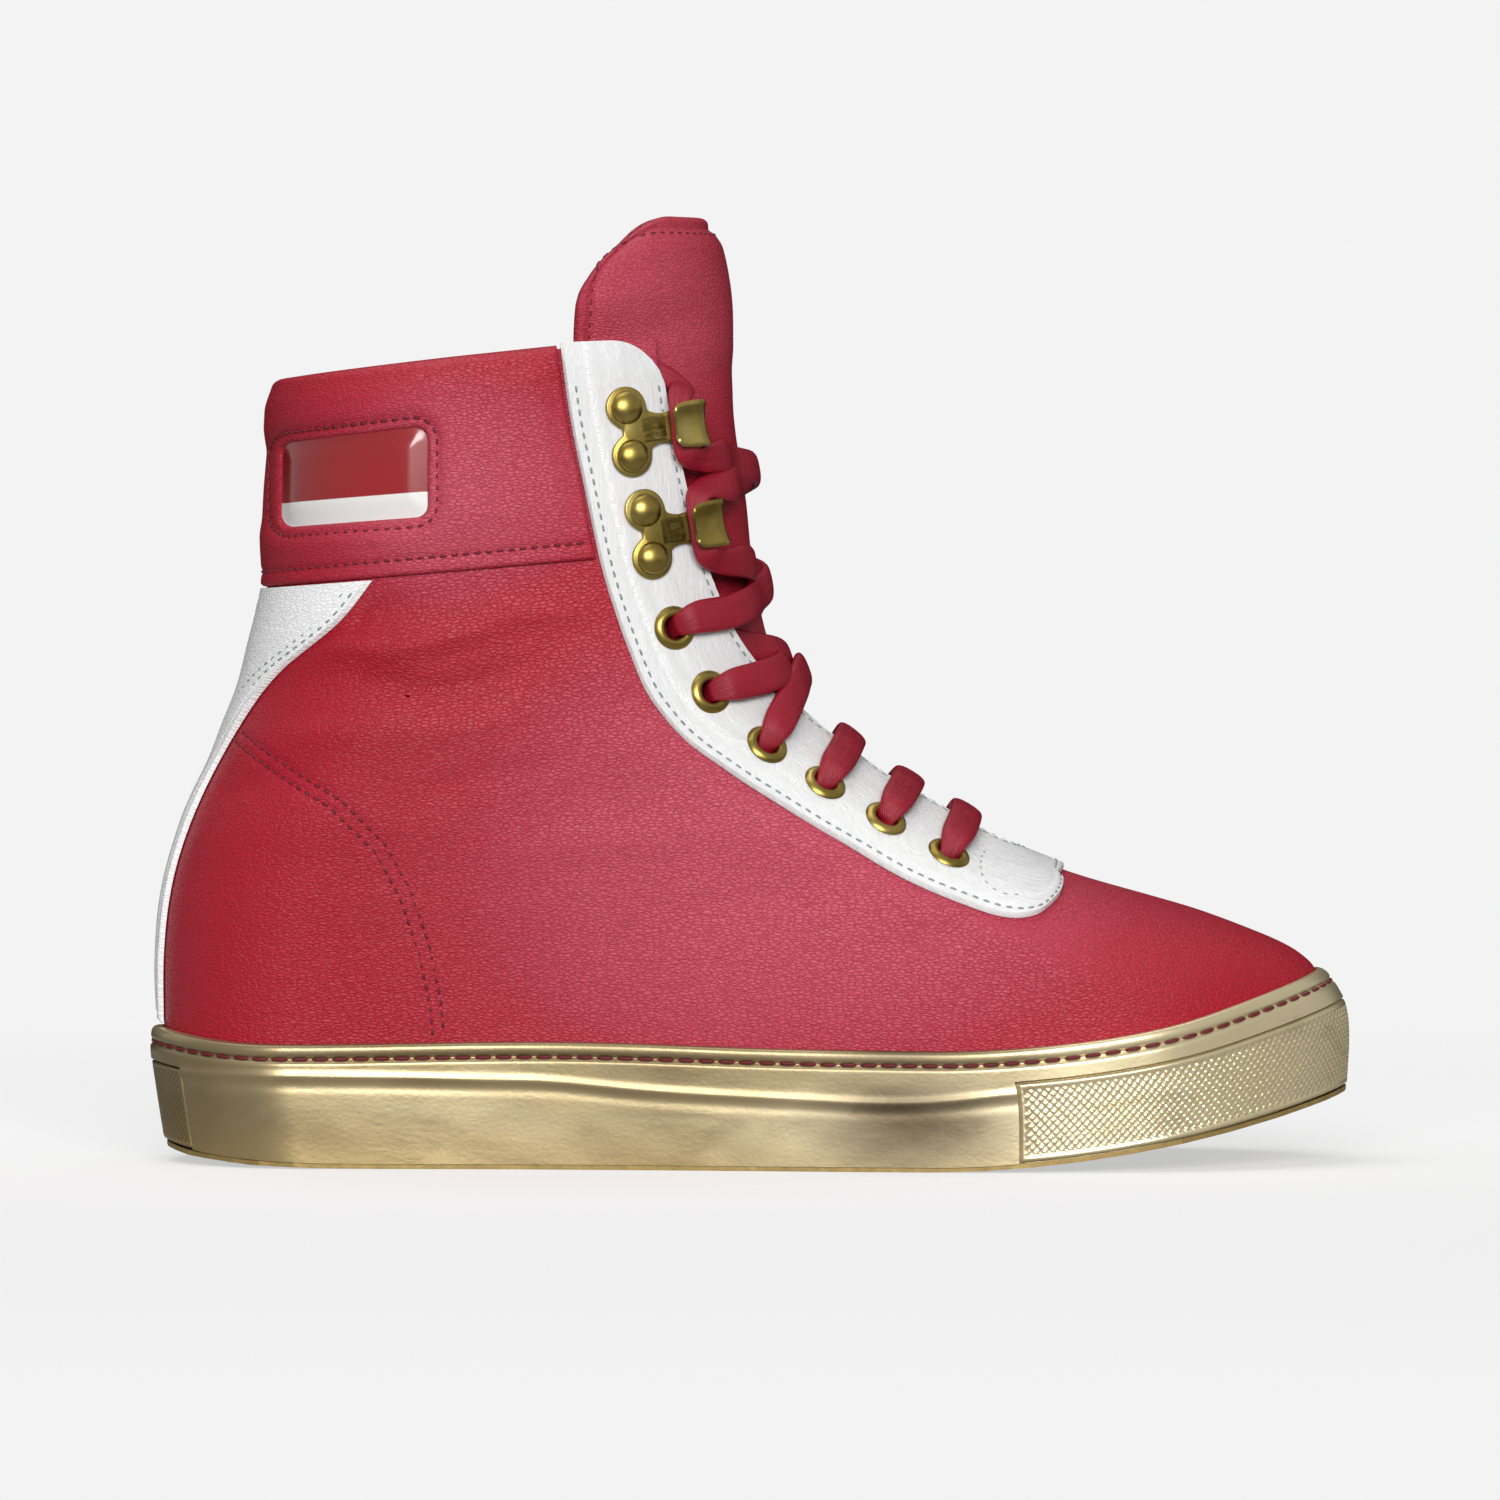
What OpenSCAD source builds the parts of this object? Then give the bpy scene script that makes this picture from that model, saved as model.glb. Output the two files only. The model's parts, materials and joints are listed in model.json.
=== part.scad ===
// High-top boxing boot, right foot, laced and standing on its sole.
// +X points to the toe, -Y is the outer (lateral) side, +Z is up.
// The origin is on the ground, in the middle of the boot's length and width.

/* [Boot] */
// Length of the sole, heel to toe
boot_length = 300; // [240:5:360]
// Width of the sole at the ball of the foot
boot_width = 104; // [86:2:126]
// Height of the collar's top edge at the back
collar_height = 195; // [160:5:236]
// Width of the shaft outside the leather
shaft_width = 82; // [68:2:98]

/* [Sole] */
// Height of the sole's rim above the tread at mid foot
sole_height = 30; // [24:1:36]
// Height that the toe end of the tread lifts off the ground
toe_spring = 18; // [10:1:22]
// Thickness of the tread under the foot
tread_t = 4.5; // [3.5:0.5:6]
// Thickness of the sidewall at mid foot
wall_t = 3.5; // [2.8:0.1:4.4]
// Depth of the recess that the toe bumper and heel patch fill
patch_t = 1.2; // [0.8:0.1:1.5]
// Radius of the thread that holds the sidewall to the upper
seam_thread_r = 0.4; // [0.3:0.05:0.5]

/* [Upper] */
// Thickness of the outer leather
leather_t = 1.4; // [1:0.1:1.8]
// Width of the leather's edge that is turned in under the insole board
turned_w = 10; // [6:1:14]
// Thickness of the trim leather: eyestay, backstay and collar band
trim_t = 1.4; // [1:0.1:1.8]
// Thickness of the lining
lining_t = 0.8; // [0.5:0.1:1.2]
// Room between leather and lining for the heel counter and toe puff
stiffener_t = 1.6; // [1.2:0.1:2.2]
// Thickness of the foam in the collar
collar_foam_t = 3.8; // [2.5:0.1:5]
// Thickness of the tongue along its middle
tongue_t = 7; // [5:0.5:9]
// Height of the tongue's top edge above the collar's back edge
tongue_rise = 41; // [32:1:50]
// Gap left between neighbouring layers
layer_gap = 0.35; // [0.3:0.05:0.5]

/* [Hardware] */
// Outer diameter of an eyelet's flange
eyelet_d = 11; // [9:0.5:13]
// Diameter of the hole through an eyelet
eyelet_hole_d = 5.6; // [5.2:0.1:6.6]
// Wall thickness of the pressed brass
brass_t = 0.5; // [0.4:0.1:0.7]
// Thickness of a lace hook's plate
hook_t = 0.9; // [0.7:0.1:1.2]
// Width of a lace hook's bent strip
hook_w = 11.5; // [9:0.5:13]
// Diameter of a rivet's domed head
rivet_d = 8.2; // [6.5:0.1:9]
// Diameter of a rivet's shank
shank_d = 2.8; // [2.2:0.1:3.4]

/* [Lace] */
// Width of the flat lace
lace_w = 8; // [6:0.5:9.5]
// Thickness of the flat lace
lace_t = 1.5; // [1.2:0.1:1.8]
// Length of the stiff tip on each end of the lace
aglet_l = 20; // [14:1:24]

/* [Hidden] */

// Scale of the outline tables, which are written for a 300 x 104 x 195 boot
kx = boot_length / 300;
ky = boot_width / 104;
ks = sole_height / 30;
kz = (collar_height - sole_height) / 165;
function at_x(x) = x * kx;
function at_z(z) = z < 30 ? z * ks : sole_height + (z - 30) * kz;

// Outlines of the outer leather in side view: [height, x]
back_profile = [for (p = [[10, -145.8], [34, -146.5], [50, -147], [68, -145.3], [86, -140],
  [104, -131.9], [117, -127], [142, -120.8], [170, -118.9], [185, -117.9], [205, -116.5],
  [240, -114]]) [at_z(p[0]), at_x(p[1])]];
front_profile = [for (p = [[10, 145.8], [20, 145.3], [26, 143.8], [32, 141.5], [35, 139.7],
  [40, 134.7], [46, 126.3], [54.5, 112.3], [60.7, 99.8], [70.4, 78.2], [78.3, 62.5], [86, 50],
  [94.5, 35.5], [99.5, 28.5], [108.5, 17.5], [117, 11.8], [130, 7], [140, 4.6], [150, 3],
  [165, 1.5], [180, -0.8], [190, -1.9], [204, -3], [219, -3.8], [229, -5.5], [234, -8],
  [242, -13]]) [at_z(p[0]), at_x(p[1])]];
// Outline of the sole's wall in side view: [height, x]
heel_profile = [for (p = [[0, -145.6], [4, -146.3], [18, -148.5], [28, -149.8], [34, -149.4]])
  [p[0] * ks, at_x(p[1])]];
toe_profile = [for (p = [[0, 149.2], [13, 149.9], [20.5, 149.2], [26, 147], [30.5, 144.4],
  [33.5, 142]]) [p[0] * ks, at_x(p[1])]];
// Height of the sidewall's rim: [x, height above the lifted ground line]
rim_profile = [for (p = [[-150, 33.8], [-133, 31.4], [-116, 30.6], [-45, 31.4], [12, 30],
  [63, 29.5], [105, 29.3], [130, 31], [150, 32.4]]) [at_x(p[0]), p[1] * ks]];
// Half widths of the sole in plan: [x, half width]
plan_lateral = [for (p = [[-150, 35], [-110, 37], [-60, 38.5], [-10, 44], [35, 50], [68, 52],
  [100, 49], [130, 42], [150, 38]]) [at_x(p[0]), p[1] * ky]];
plan_medial = [for (p = [[-150, 35], [-110, 37], [-60, 36], [-20, 37.5], [20, 44.5], [70, 52],
  [95, 51], [120, 47.5], [150, 44]]) [at_x(p[0]), p[1] * ky]];
// Half width of the lacing gap: [height, half gap]
gap_profile = [for (p = [[76.5, 0.2], [77.3, 4], [79, 6.5], [85, 8], [95, 8.6], [104, 9.6],
  [109, 12], [114, 16.5], [119.5, 21.5], [126, 25], [135, 27.5], [150, 30.3], [168, 31.2],
  [178, 32], [190, 32.5], [240, 32.5]]) [at_z(p[0]), p[1] * shaft_width / 82]];
// Rear edge of the eyestay in side view: [height, x]
eyestay_rear = [for (p = [[62.8, 61.5], [66.5, 49.4], [72.85, 35.4], [79.15, 24.85],
  [86.9, 11.5], [95.3, -1.8], [103.75, -13.75], [110.75, -20.75], [117.75, -25.65],
  [126.8, -29.5], [141.65, -34.4], [153, -37.9], [168.8, -40.8], [182.75, -43.8], [204, -46.8],
  [240, -50]]) [at_z(p[0]), at_x(p[1])]];
// Front edge of the backstay in side view: [height, x]
backstay_front = [for (p = [[31, -146], [54.6, -145.6], [72.75, -142.8], [90.9, -136.2],
  [109, -126.2], [121.8, -116.2], [133.65, -100.75], [144, -91.6]]) [at_z(p[0]), at_x(p[1])]];
// Front edge of the heel counter in side view: [height, x]
counter_front = [for (p = [[18, -78], [41, -80], [54.6, -83], [68.3, -87.5], [80, -94],
  [91, -105], [99, -118], [104, -126]]) [at_z(p[0]), at_x(p[1])]];
// Rear edge of the tongue in side view: [height, x]
tongue_rear = [for (p = [[66, 62], [76, 44], [90, 20], [104, -2], [118, -18], [140, -30],
  [165, -37], [190, -41.5], [204.75, -42.3], [219.5, -41.2], [228.35, -38.3], [234.2, -33.6],
  [240, -28]]) [at_z(p[0]), at_x(p[1])]];

lift_x = at_x(45);
lift_len = at_x(105);
heel_rise = 3.75;
heel_rise_x = at_x(-60);
heel_rise_len = at_x(86.3);
heel_r = 35 * ky;
toe_r = 51 * kx;
shaft_heel_r = 44 * kx;
instep_r = 50 * kx;
ankle_z = at_z(112);
collar_slope = 0.106;
lean_z = at_z(100);
lean_span = 60 * kz;
collar_z = collar_height - 0.4;
band_z = at_z(143.3);
throat_z = at_z(76.5);
tongue_top_z = collar_height + tongue_rise;
flex_z = at_z(206);
flex_gap = 0.8;
bumper_x = at_x(64.5);
patch_x = at_x(-141);

// Offsets of the layers from the leather's outer face, positive outwards
trim_in = layer_gap;
trim_out = trim_in + trim_t;
leather_in = -leather_t;
stiffener_out = leather_in - layer_gap;
stiffener_in = stiffener_out - stiffener_t;
lining_out = stiffener_in - layer_gap;
collar_in = stiffener_out - collar_foam_t;
washer_out = leather_in - 0.6;
stay_in = trim_in + 0.2;
stay_out = trim_out + 0.15;
washer_t = 0.4;
roll_in = washer_out - washer_t - 0.05 - brass_t;
lace_under = roll_in - lace_t / 2 - 0.15;
tongue_under = lace_under - lace_t / 2 - 0.35;
tongue_mid = -2.6;
lace_over = stay_out + brass_t + 0.95 + lace_t / 2;

function clamp(v, lo, hi) = max(lo, min(hi, v));
function mix(a, b, t) = a + (b - a) * t;
function ease(t) = let (u = clamp(t, 0, 1)) u * u * (3 - 2 * u);
function unit(v) = v / norm(v);
function flat(lists) = [for (l = lists) each l];

// Smooth curve through a table's points
function span(tab, v, i = 0) = i >= len(tab) - 2 || v < tab[i + 1][0] ? i : span(tab, v, i + 1);
function steep(tab, i) =
  let (lo = max(i - 1, 0), hi = min(i + 1, len(tab) - 1))
  (tab[hi][1] - tab[lo][1]) / (tab[hi][0] - tab[lo][0]);
function curve(tab, v) =
  let (i = span(tab, v), a = tab[i], b = tab[i + 1], h = b[0] - a[0],
       u = clamp((v - a[0]) / h, 0, 1), w = 1 - u)
  a[1] * (1 + 2 * u) * w * w + steep(tab, i) * h * u * w * w
  + b[1] * u * u * (3 - 2 * u) - steep(tab, i + 1) * h * u * u * w;

// The last's surface. A point on it has a place round the foot, a, which runs from
// -1 at the toe round the lateral side to 0 at the heel and on to 1 at the toe,
// and a height zn, which the collar's slope and the toe's spring then raise.
function toe_lift(x) = x > lift_x ? toe_spring * pow((x - lift_x) / lift_len, 1.8) : 0;
function heel_lift(x) =
  x < heel_rise_x ? heel_rise * pow((heel_rise_x - x) / heel_rise_len, 5) : 0;
function lean(zn) = collar_slope * ease((zn - lean_z) / lean_span);
function back_x(zn) = curve(back_profile, zn);
function front_x(zn) = curve(front_profile, zn + lean(zn) * at_x(113));
function round_end(s) = let (u = 1 - clamp(s, 0, 1)) sqrt(1 - u * u);
function plan_w(x, side) = curve(side < 0 ? plan_lateral : plan_medial, x);
function half_w(x, side, zn) =
  let (f = ease((zn - sole_height) / (ankle_z - sole_height)),
       p = mix(plan_w(x, side) - wall_t, shaft_width / 2, f))
  p * round_end((x - back_x(zn)) / mix(heel_r, shaft_heel_r, f))
    * round_end((front_x(zn) - x) / mix(toe_r, instep_r, f));
function wrap(a) = a > 1 ? a - 2 : a < -1 ? a + 2 : a;
function ring_x(a, xb, xf) = xb + (xf - xb) * (1 - cos(180 * abs(a))) / 2;
function base(a0, zn) =
  let (a = wrap(a0), side = a < 0 ? -1 : 1, xb = back_x(zn), x = ring_x(a, xb, front_x(zn)))
  [x, side * half_w(x, side, zn), zn + lean(zn) * (x - xb) + toe_lift(x)];
function normal_at(a, zn) =
  unit(cross(base(a, zn + 0.4) - base(a, zn - 0.4), base(a + 0.004, zn) - base(a - 0.004, zn)));
function skin(a, zn, d) = base(a, zn) + d * normal_at(a, zn);

// Place round the foot, 0 to 1, of a point seen from the side at x
function ring_a(x, zn) =
  let (xb = back_x(zn), xf = front_x(zn)) acos(clamp(1 - 2 * (x - xb) / (xf - xb), -1, 1)) / 180;
// Height zn of a point seen from the side at x and z
function level(x, z) =
  let (z1 = z - toe_lift(x), z2 = z1 - lean(z1) * (x - back_x(z1)),
       z3 = z1 - lean(z2) * (x - back_x(z2)))
  z1 - lean(z3) * (x - back_x(z3));
// [a, zn] of a point that is seen from the side at x and z and stands h off the leather
function spot(x, z, h = 0) =
  let (zn = level(x, z), n = normal_at(ring_a(x, zn), zn), x1 = x - h * n[0],
       z1 = level(x1, z - h * n[2]))
  [ring_a(x1, z1), z1];
// Place round the foot of the lacing gap's edge, pulled back by m
function throat_a(zn, m = 0) =
  let (g = curve(gap_profile, zn), xf = front_x(zn), p = half_w(xf - instep_r, -1, zn),
       u = clamp(g / p, 0, 1))
  zn <= throat_z ? 1 : ring_a(xf - instep_r * (1 - sqrt(1 - u * u)) - m, zn);
function rear_a(zn, m = 0) =
  ring_a(curve(eyestay_rear, zn + lean(zn) * at_x(80)) - m, zn);

// A sheet between two grids of points, whose ends join in the rows that joined marks
module sheet(outer, inner, joined) {
  m = len(outer) - 1;
  n = len(outer[0]) - 1;
  w = n + 1;
  half = (m + 1) * w;
  function o(i, j) = i * w + (joined[i] && j == n ? 0 : j);
  function q(i, j) = half + o(i, j);
  quads = concat(
    [for (i = [0:m - 1], j = [0:n - 1]) each
      [[o(i, j), o(i, j + 1), o(i + 1, j + 1), o(i + 1, j)],
       [q(i, j), q(i + 1, j), q(i + 1, j + 1), q(i, j + 1)]]],
    [for (j = [0:n - 1]) each
      [[o(0, j + 1), o(0, j), q(0, j), q(0, j + 1)],
       [o(m, j), o(m, j + 1), q(m, j + 1), q(m, j)]]],
    [for (i = [0:m - 1]) if (!joined[i] || !joined[i + 1]) each
      [[o(i, 0), o(i + 1, 0), q(i + 1, 0), q(i, 0)],
       [o(i + 1, n), o(i, n), q(i, n), q(i + 1, n)]]]
  );
  polyhedron(points = concat(flat(outer), flat(inner)),
    faces = [for (f = quads) each [[f[0], f[1], f[2]], [f[0], f[2], f[3]]]], convexity = 12);
}

// Grid of points between places a0 and a1 round the foot, for rows [zn, a0, a1, offset]
function grid(rows, n) =
  [for (r = rows) [for (j = [0:n]) skin(mix(r[1], r[2], j / n), r[0], r[3])]];
module skin_sheet(rows_out, rows_in, n, joined) {
  sheet(grid(rows_out, n), grid(rows_in, n), joined);
}
// Sheet of even thickness between offsets d0 and d1, for rows [zn, a0, a1]
module layer(rows, n, d0, d1, joined = undef) {
  skin_sheet([for (r = rows) [r[0], r[1], r[2], d0]], [for (r = rows) [r[0], r[1], r[2], d1]],
    n, is_undef(joined) ? [for (r = rows) false] : joined);
}

// Flat piece of the sole between heights z0 and z1 above the lifted ground line
function ring_plan(zn, d, n = 32) =
  [for (j = [0:2 * n - 1]) let (p = skin(-1 + j / n, zn, d)) [p[0], p[1]]];
function wall_plan(z, d, n = 32) =
  [for (j = [0:2 * n - 1]) let (p = wall(-1 + j / n, z, d)) [p[0], p[1]]];
function ground(x, heel) = toe_lift(x) + heel * heel_lift(x);
// Its faces follow the heel's rise by the shares heel0 and heel1
module slab(plan, z0, z1, heel0 = 1, heel1 = 1) {
  stations = concat(
    [for (k = [0:6]) mix(at_x(-155), heel_rise_x, k / 6)],
    [for (k = [0:9]) mix(lift_x, at_x(155), k / 9)]
  );
  intersection() {
    translate([0, 0, -1]) linear_extrude(80) polygon(plan);
    rotate([90, 0, 0]) linear_extrude(boot_width + 20, center = true) polygon(concat(
      [for (x = stations) [x, z0 + ground(x, heel0)]],
      [for (k = [len(stations) - 1:-1:0]) [stations[k], z1 + ground(stations[k], heel1)]]));
  }
}

// Outer face of the sole's wall at place a and height z, moved out by d
function wall_w(x, side, z) =
  plan_w(x, side) * round_end((x - curve(heel_profile, z)) / heel_r)
  * round_end((curve(toe_profile, z) - x) / toe_r);
function wall_base(a0, z) =
  let (a = wrap(a0), side = a < 0 ? -1 : 1,
       x = ring_x(a, curve(heel_profile, z), curve(toe_profile, z)))
  [x, side * wall_w(x, side, z), z + toe_lift(x)];
function wall(a, z, d) =
  let (t = wall_base(a + 0.004, z) - wall_base(a - 0.004, z), n = unit([t[1], -t[0], 0]))
  wall_base(a, z) - d * n;
// Height of the sidewall at place a, where v runs from 0 at the ground to 1 at the rim
function wall_z(a, v) =
  let (x = ring_x(wrap(a), at_x(-149), at_x(148)), lo = heel_lift(x))
  mix(lo, curve(rim_profile, x), v);
wall_n = 27;
wall_a = [for (j = [0:2 * wall_n]) -1 + j / wall_n];
function wall_x(a) = ring_x(wrap(a), at_x(-149), at_x(148));
// Rows of the sidewall: [share of the height, depth of the thread's groove]
groove = 2 * seam_thread_r;
wall_rows = [[0.05, 0], [0.4, 0], [0.72, 0], [0.84, 0], [0.85, groove], [0.91, groove],
  [0.92, 0], [1, 0]];
bumper_v = 0.72;
function in_patch(a) = wall_x(a) > bumper_x || wall_x(a) < patch_x;
function patch_depth(a, v) = in_patch(a) && v <= bumper_v ? patch_t + 0.1 : 0;

// Turns a child's +Z along the leather's outward normal and its +Y up along the boot
module stand(p, side, h = 0) {
  a = side * p[0];
  n = normal_at(a, p[1]);
  up = unit([0, 0, 1] - n[2] * n);
  f = cross(up, n);
  at = skin(a, p[1], h);
  multmatrix([[f[0], up[0], n[0], at[0]], [f[1], up[1], n[1], at[1]],
    [f[2], up[2], n[2], at[2]], [0, 0, 0, 1]]) children();
}

// Places of the eyelets and hooks, seen from the side: [x, z]
eyelets = [for (p = [[-18.6, 133.5], [-9.65, 117.6], [4.2, 104.55], [18.55, 95.1],
  [33.5, 86.3], [49.05, 77.75]]) spot(at_x(p[0]), at_z(p[1]), trim_out)];
hooks = [for (p = [[-30.05, 181.6], [-25.3, 156.5]]) spot(at_x(p[0]), at_z(p[1]), trim_out)];
hook_tilt = [7, 9];
rivet_pitch = 12;
sides = [-1, 1];
function side_name(s) = s < 0 ? "lateral" : "medial";

module leather_holes(d = 0.4) {
  for (s = sides) {
    for (p = eyelets)
      stand(p, s) cylinder(d = eyelet_hole_d + 2 * brass_t + d, h = 14, center = true, $fn = 14);
    for (k = [0:1])
      stand(hooks[k], s) rotate(-s * hook_tilt[k]) for (y = [-1, 1])
        translate([0, y * rivet_pitch / 2, 0])
          cylinder(d = shank_d + d, h = 14, center = true, $fn = 8);
  }
}

module outsole() {
  color("darkgoldenrod") union() {
    slab(wall_plan(sole_height * 0.1, -0.3), 0, 1.2);
    slab(wall_plan(sole_height * 0.1, -wall_t - 0.4), 1.1, tread_t);
  }
}

module sidewall() {
  color("goldenrod") sheet(
    [for (r = wall_rows) [for (a = wall_a)
      let (z = wall_z(a, r[0])) wall(a, z, -r[1] - patch_depth(a, r[0]))]],
    [for (r = wall_rows) [for (a = wall_a)
      let (z = wall_z(a, r[0])) r[0] < 0.4 ? wall(a, z, -wall_t) : skin_wall(a, z)]],
    [for (r = wall_rows) true]);
}
// Inner face of the sidewall, which follows the upper's leather
function skin_wall(a, z) = skin(a, max(z, 10), layer_gap);

module wall_patch(cols) {
  rows = [0.05, 0.25, 0.5, bumper_v - 0.01];
  sheet([for (v = rows) [for (a = cols) wall(a, wall_z(a, v), 0)]],
    [for (v = rows) [for (a = cols) wall(a, wall_z(a, v), -patch_t + 0.05)]],
    [for (v = rows) false]);
}
module toe_bumper() {
  cols = [for (j = [0:2 * wall_n]) let (a = j / wall_n) if (wall_x(a) > bumper_x) a];
  color("gold") wall_patch(cols);
}
module heel_patch() {
  color("gold") wall_patch([for (a = wall_a) if (wall_x(a) < patch_x) a]);
}

// Ring of thread that lies in the sidewall's groove
module sidewall_thread() {
  v = 0.88;
  m = 4;
  ring = [for (a = wall_a) [for (k = [0:m]) let (w = 360 * k / m, z = wall_z(a, v))
    wall(a, z, -groove / 2 + seam_thread_r * cos(w)) + [0, 0, seam_thread_r * sin(w)]]];
  n = len(ring) - 1;
  points = [for (i = [0:n - 1], k = [0:m - 1]) ring[i][k]];
  function id(i, k) = (i % n) * m + k % m;
  color("firebrick") polyhedron(points = points, faces = [for (i = [0:n - 1], k = [0:m - 1]) each
    [[id(i, k), id(i, k + 1), id(i + 1, k + 1)], [id(i, k), id(i + 1, k + 1), id(i + 1, k)]]]);
}

board_z = 16.3 * ks;
board_t = 1.8;
footbed_t = 4;
module midsole() {
  color("wheat") slab(wall_plan(sole_height * 0.1, -wall_t - 1), tread_t + 0.1, 13.6 * ks, 1, 0);
}
module insole_board() {
  color("burlywood") slab(ring_plan(board_z, leather_in - 1.2), board_z, board_z + board_t, 0,
    0);
}
lining_z = board_z + board_t + 0.2;
module footbed() {
  color("dimgray")
    slab(ring_plan(lining_z + footbed_t, lining_out - lining_t - 1.1), lining_z, lining_z +
      footbed_t, 0, 0);
}

// Rows of the one-piece upper, from its edge turned in under the board
upper_z = [for (z = [18, 25, 32, 38, 45, 52, 58, 64, 70.4, 76.5, 78.5, 82, 87, 93, 99, 106, 112,
  118, 125, 133, 143.3, 156, 169, 182]) at_z(z)];
module upper() {
  turned = 14 * ks;
  zs = concat(upper_z, [collar_z]);
  rows = [for (z = zs) let (t = throat_a(z)) [z, -t, t]];
  rows_out = [for (r = rows) [r[0], r[1], r[2], 0]];
  rows_in = [for (r = rows) [r[0], r[1], r[2], leather_in]];
  n = 40;
  // Edge turned in flat under the board
  function turn(z, d) = [for (j = [0:n]) let (p = skin(-1 + 2 * j / n, z, d))
    [p[0], p[1], z + toe_lift(p[0])]];
  color("crimson") resize([0, 0, 0]) difference() {
    sheet(concat([turn(turned, -turned_w), turn(turned, -1.2)], grid(rows_out, n)),
      concat([turn(turned + leather_t, -turned_w), turn(turned + leather_t, -2.2)],
        grid(rows_in, n)),
      concat([true, true], [for (z = zs) z <= throat_z]));
    leather_holes();
  }
}

module lining() {
  zs = concat([lining_z], [for (z = [24, 30, 37, 44, 51, 58]) at_z(z)],
    [for (z = [62, 66, 72, 80, 89, 98, 107, 116, 125, 134, 143, 160, 178]) at_z(z)],
    [collar_z - 1]);
  function deep(z) = mix(lining_out, collar_in - layer_gap, ease((z - at_z(122)) / 22));
  function edge(z) = z < at_z(60) ? 1 : rear_a(z, 1.5);
  color("linen") skin_sheet([for (z = zs) [z, -edge(z), edge(z), deep(z)]],
    [for (z = zs) [z, -edge(z), edge(z), deep(z) - lining_t]], 28,
    [for (z = zs) z < at_z(60)]);
}

module heel_counter() {
  rows = [for (z = [20, 32, 44, 56, 68, 80, 90, 98]) let (h = at_z(z),
    t = ring_a(curve(counter_front, h), h)) [max(h, lining_z), -t, t]];
  color("tan") layer(rows, 16, stiffener_out - 0.15, stiffener_in + 0.3);
}

module toe_puff() {
  rows = [for (z = [20, 25, 32, 38, 45, 51]) let (h = at_z(z),
    t = ring_a(at_x(98), h)) [max(h, lining_z), t, 2 - t]];
  color("tan") layer(rows, 16, stiffener_out - 0.35, stiffener_in + 0.25);
}

module backstay() {
  rows = [for (z = [34.5, 44, 54, 64, 74, 84, 94, 104, 112, 120, 127, 134, 142.7])
    let (h = at_z(z), t = ring_a(curve(backstay_front, h), h)) [h, -t, t]];
  color("whitesmoke") layer(rows, 12, trim_out, trim_in);
}

// Rows across the eyestay from toe to top: [front height, rear x, rear height]
eyestay_rows = [[76.9, 77.3, 69.9], [77.6, 74.4, 65.2], [79, 69.4, 62.4], [81.5, 61.5, 62.4],
  [85.5, 49.4, 66.5], [90, 37, 72], [95, 24.85, 79.15], [101, 14, 85.5], [107, 4, 91.7],
  [112.5, -5, 97.6], [118, -13.75, 103.75], [124, -20.75, 110.75], [129, -25.65, 117.75],
  [134.5, -29.5, 126.8], [141, -33, 136.5], [148, -36.5, 148], [157, -39.2, 160],
  [167, -41.9, 173], [177, -44.6, 187], [194.5, -46.7, 203.6]];
module eyestay() {
  side_rows = [for (r = eyestay_rows) let (zf = at_z(r[0]), x = at_x(r[1]), z = level(x,
    at_z(r[2]))) [[throat_a(zf), zf], [ring_a(x, z), z]]];
  toe_row = [[1, throat_z], [1, at_z(70.4)]];
  n = 4;
  // From the medial top, round the toe, to the lateral top
  function across(r, s, d) = [for (j = [0:n]) let (p = mix(r[1], r[0], j / n))
    skin(s * p[0], p[1], d)];
  function run(d) = concat(
    [for (k = [len(side_rows) - 1:-1:0]) across(side_rows[k], 1, d)],
    [across(toe_row, 1, d)],
    [for (r = side_rows) across(r, -1, d)]);
  color("white") resize([0, 0, 0]) difference() {
    sheet(run(stay_out), run(stay_in), [for (r = run(0)) false]);
    leather_holes();
  }
}

// Side view outline of the window in the collar band, grown by d
module window(d) {
  outline = [for (p = [[-114.5, 159.6], [-80.2, 162], [-80.2, 181.6], [-114.5, 178.2]])
    [at_x(p[0]), at_z(p[1])]];
  rotate([90, 0, 0]) linear_extrude(boot_width) offset(r = 2.2 + d, $fn = 16) offset(delta = -2.2)
    polygon(outline);
}
function band_rows(lo, hi, n) = [for (k = [0:n]) let (z = mix(lo, hi, k / n),
  t = rear_a(z, 0.7)) [z, -t, t]];
module collar_band() {
  color("crimson") resize([0, 0, 0]) difference() {
    layer(band_rows(band_z, collar_z, 6), 36, trim_out, trim_in);
    window(0);
  }
}
module label_insert() {
  color("firebrick") resize([0, 0, 0]) intersection() {
    layer(band_rows(band_z, collar_z, 6), 36, trim_in + trim_t / 2, trim_in);
    window(-0.4);
  }
}
module collar_foam() {
  color("khaki") layer([for (r = band_rows(at_z(147), collar_z - 1, 6)) [r[0], r[1] + 0.01,
    r[2] - 0.01]], 32, stiffener_out, collar_in);
}

// Offset of the tongue's front face at place a round the foot
function tongue_out(a, zn) =
  let (q = (1 - abs(wrap(a))) / max(1 - throat_a(max(zn, throat_z + 1)), 0.02),
       mid = zn > at_z(172) ? mix(tongue_mid, -1.6, ease((zn - at_z(172)) / 20)) : tongue_mid,
       side = mix(tongue_under, tongue_mid - 0.4, ease((zn - at_z(195)) / 12)))
  zn < throat_z ? tongue_under : mix(mid, side, ease(q * 1.05));
function tongue_thick(a, zn) =
  let (q = (1 - abs(wrap(a))) / (1 - tongue_a(zn)))
  mix(tongue_t, tongue_t * 0.55, ease(q * 1.2 - 0.2)) * mix(0.6, 1, ease((zn - at_z(68)) / 20));
function tongue_a(zn) = ring_a(curve(tongue_rear, zn + lean(zn) * at_x(80)), zn);
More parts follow.
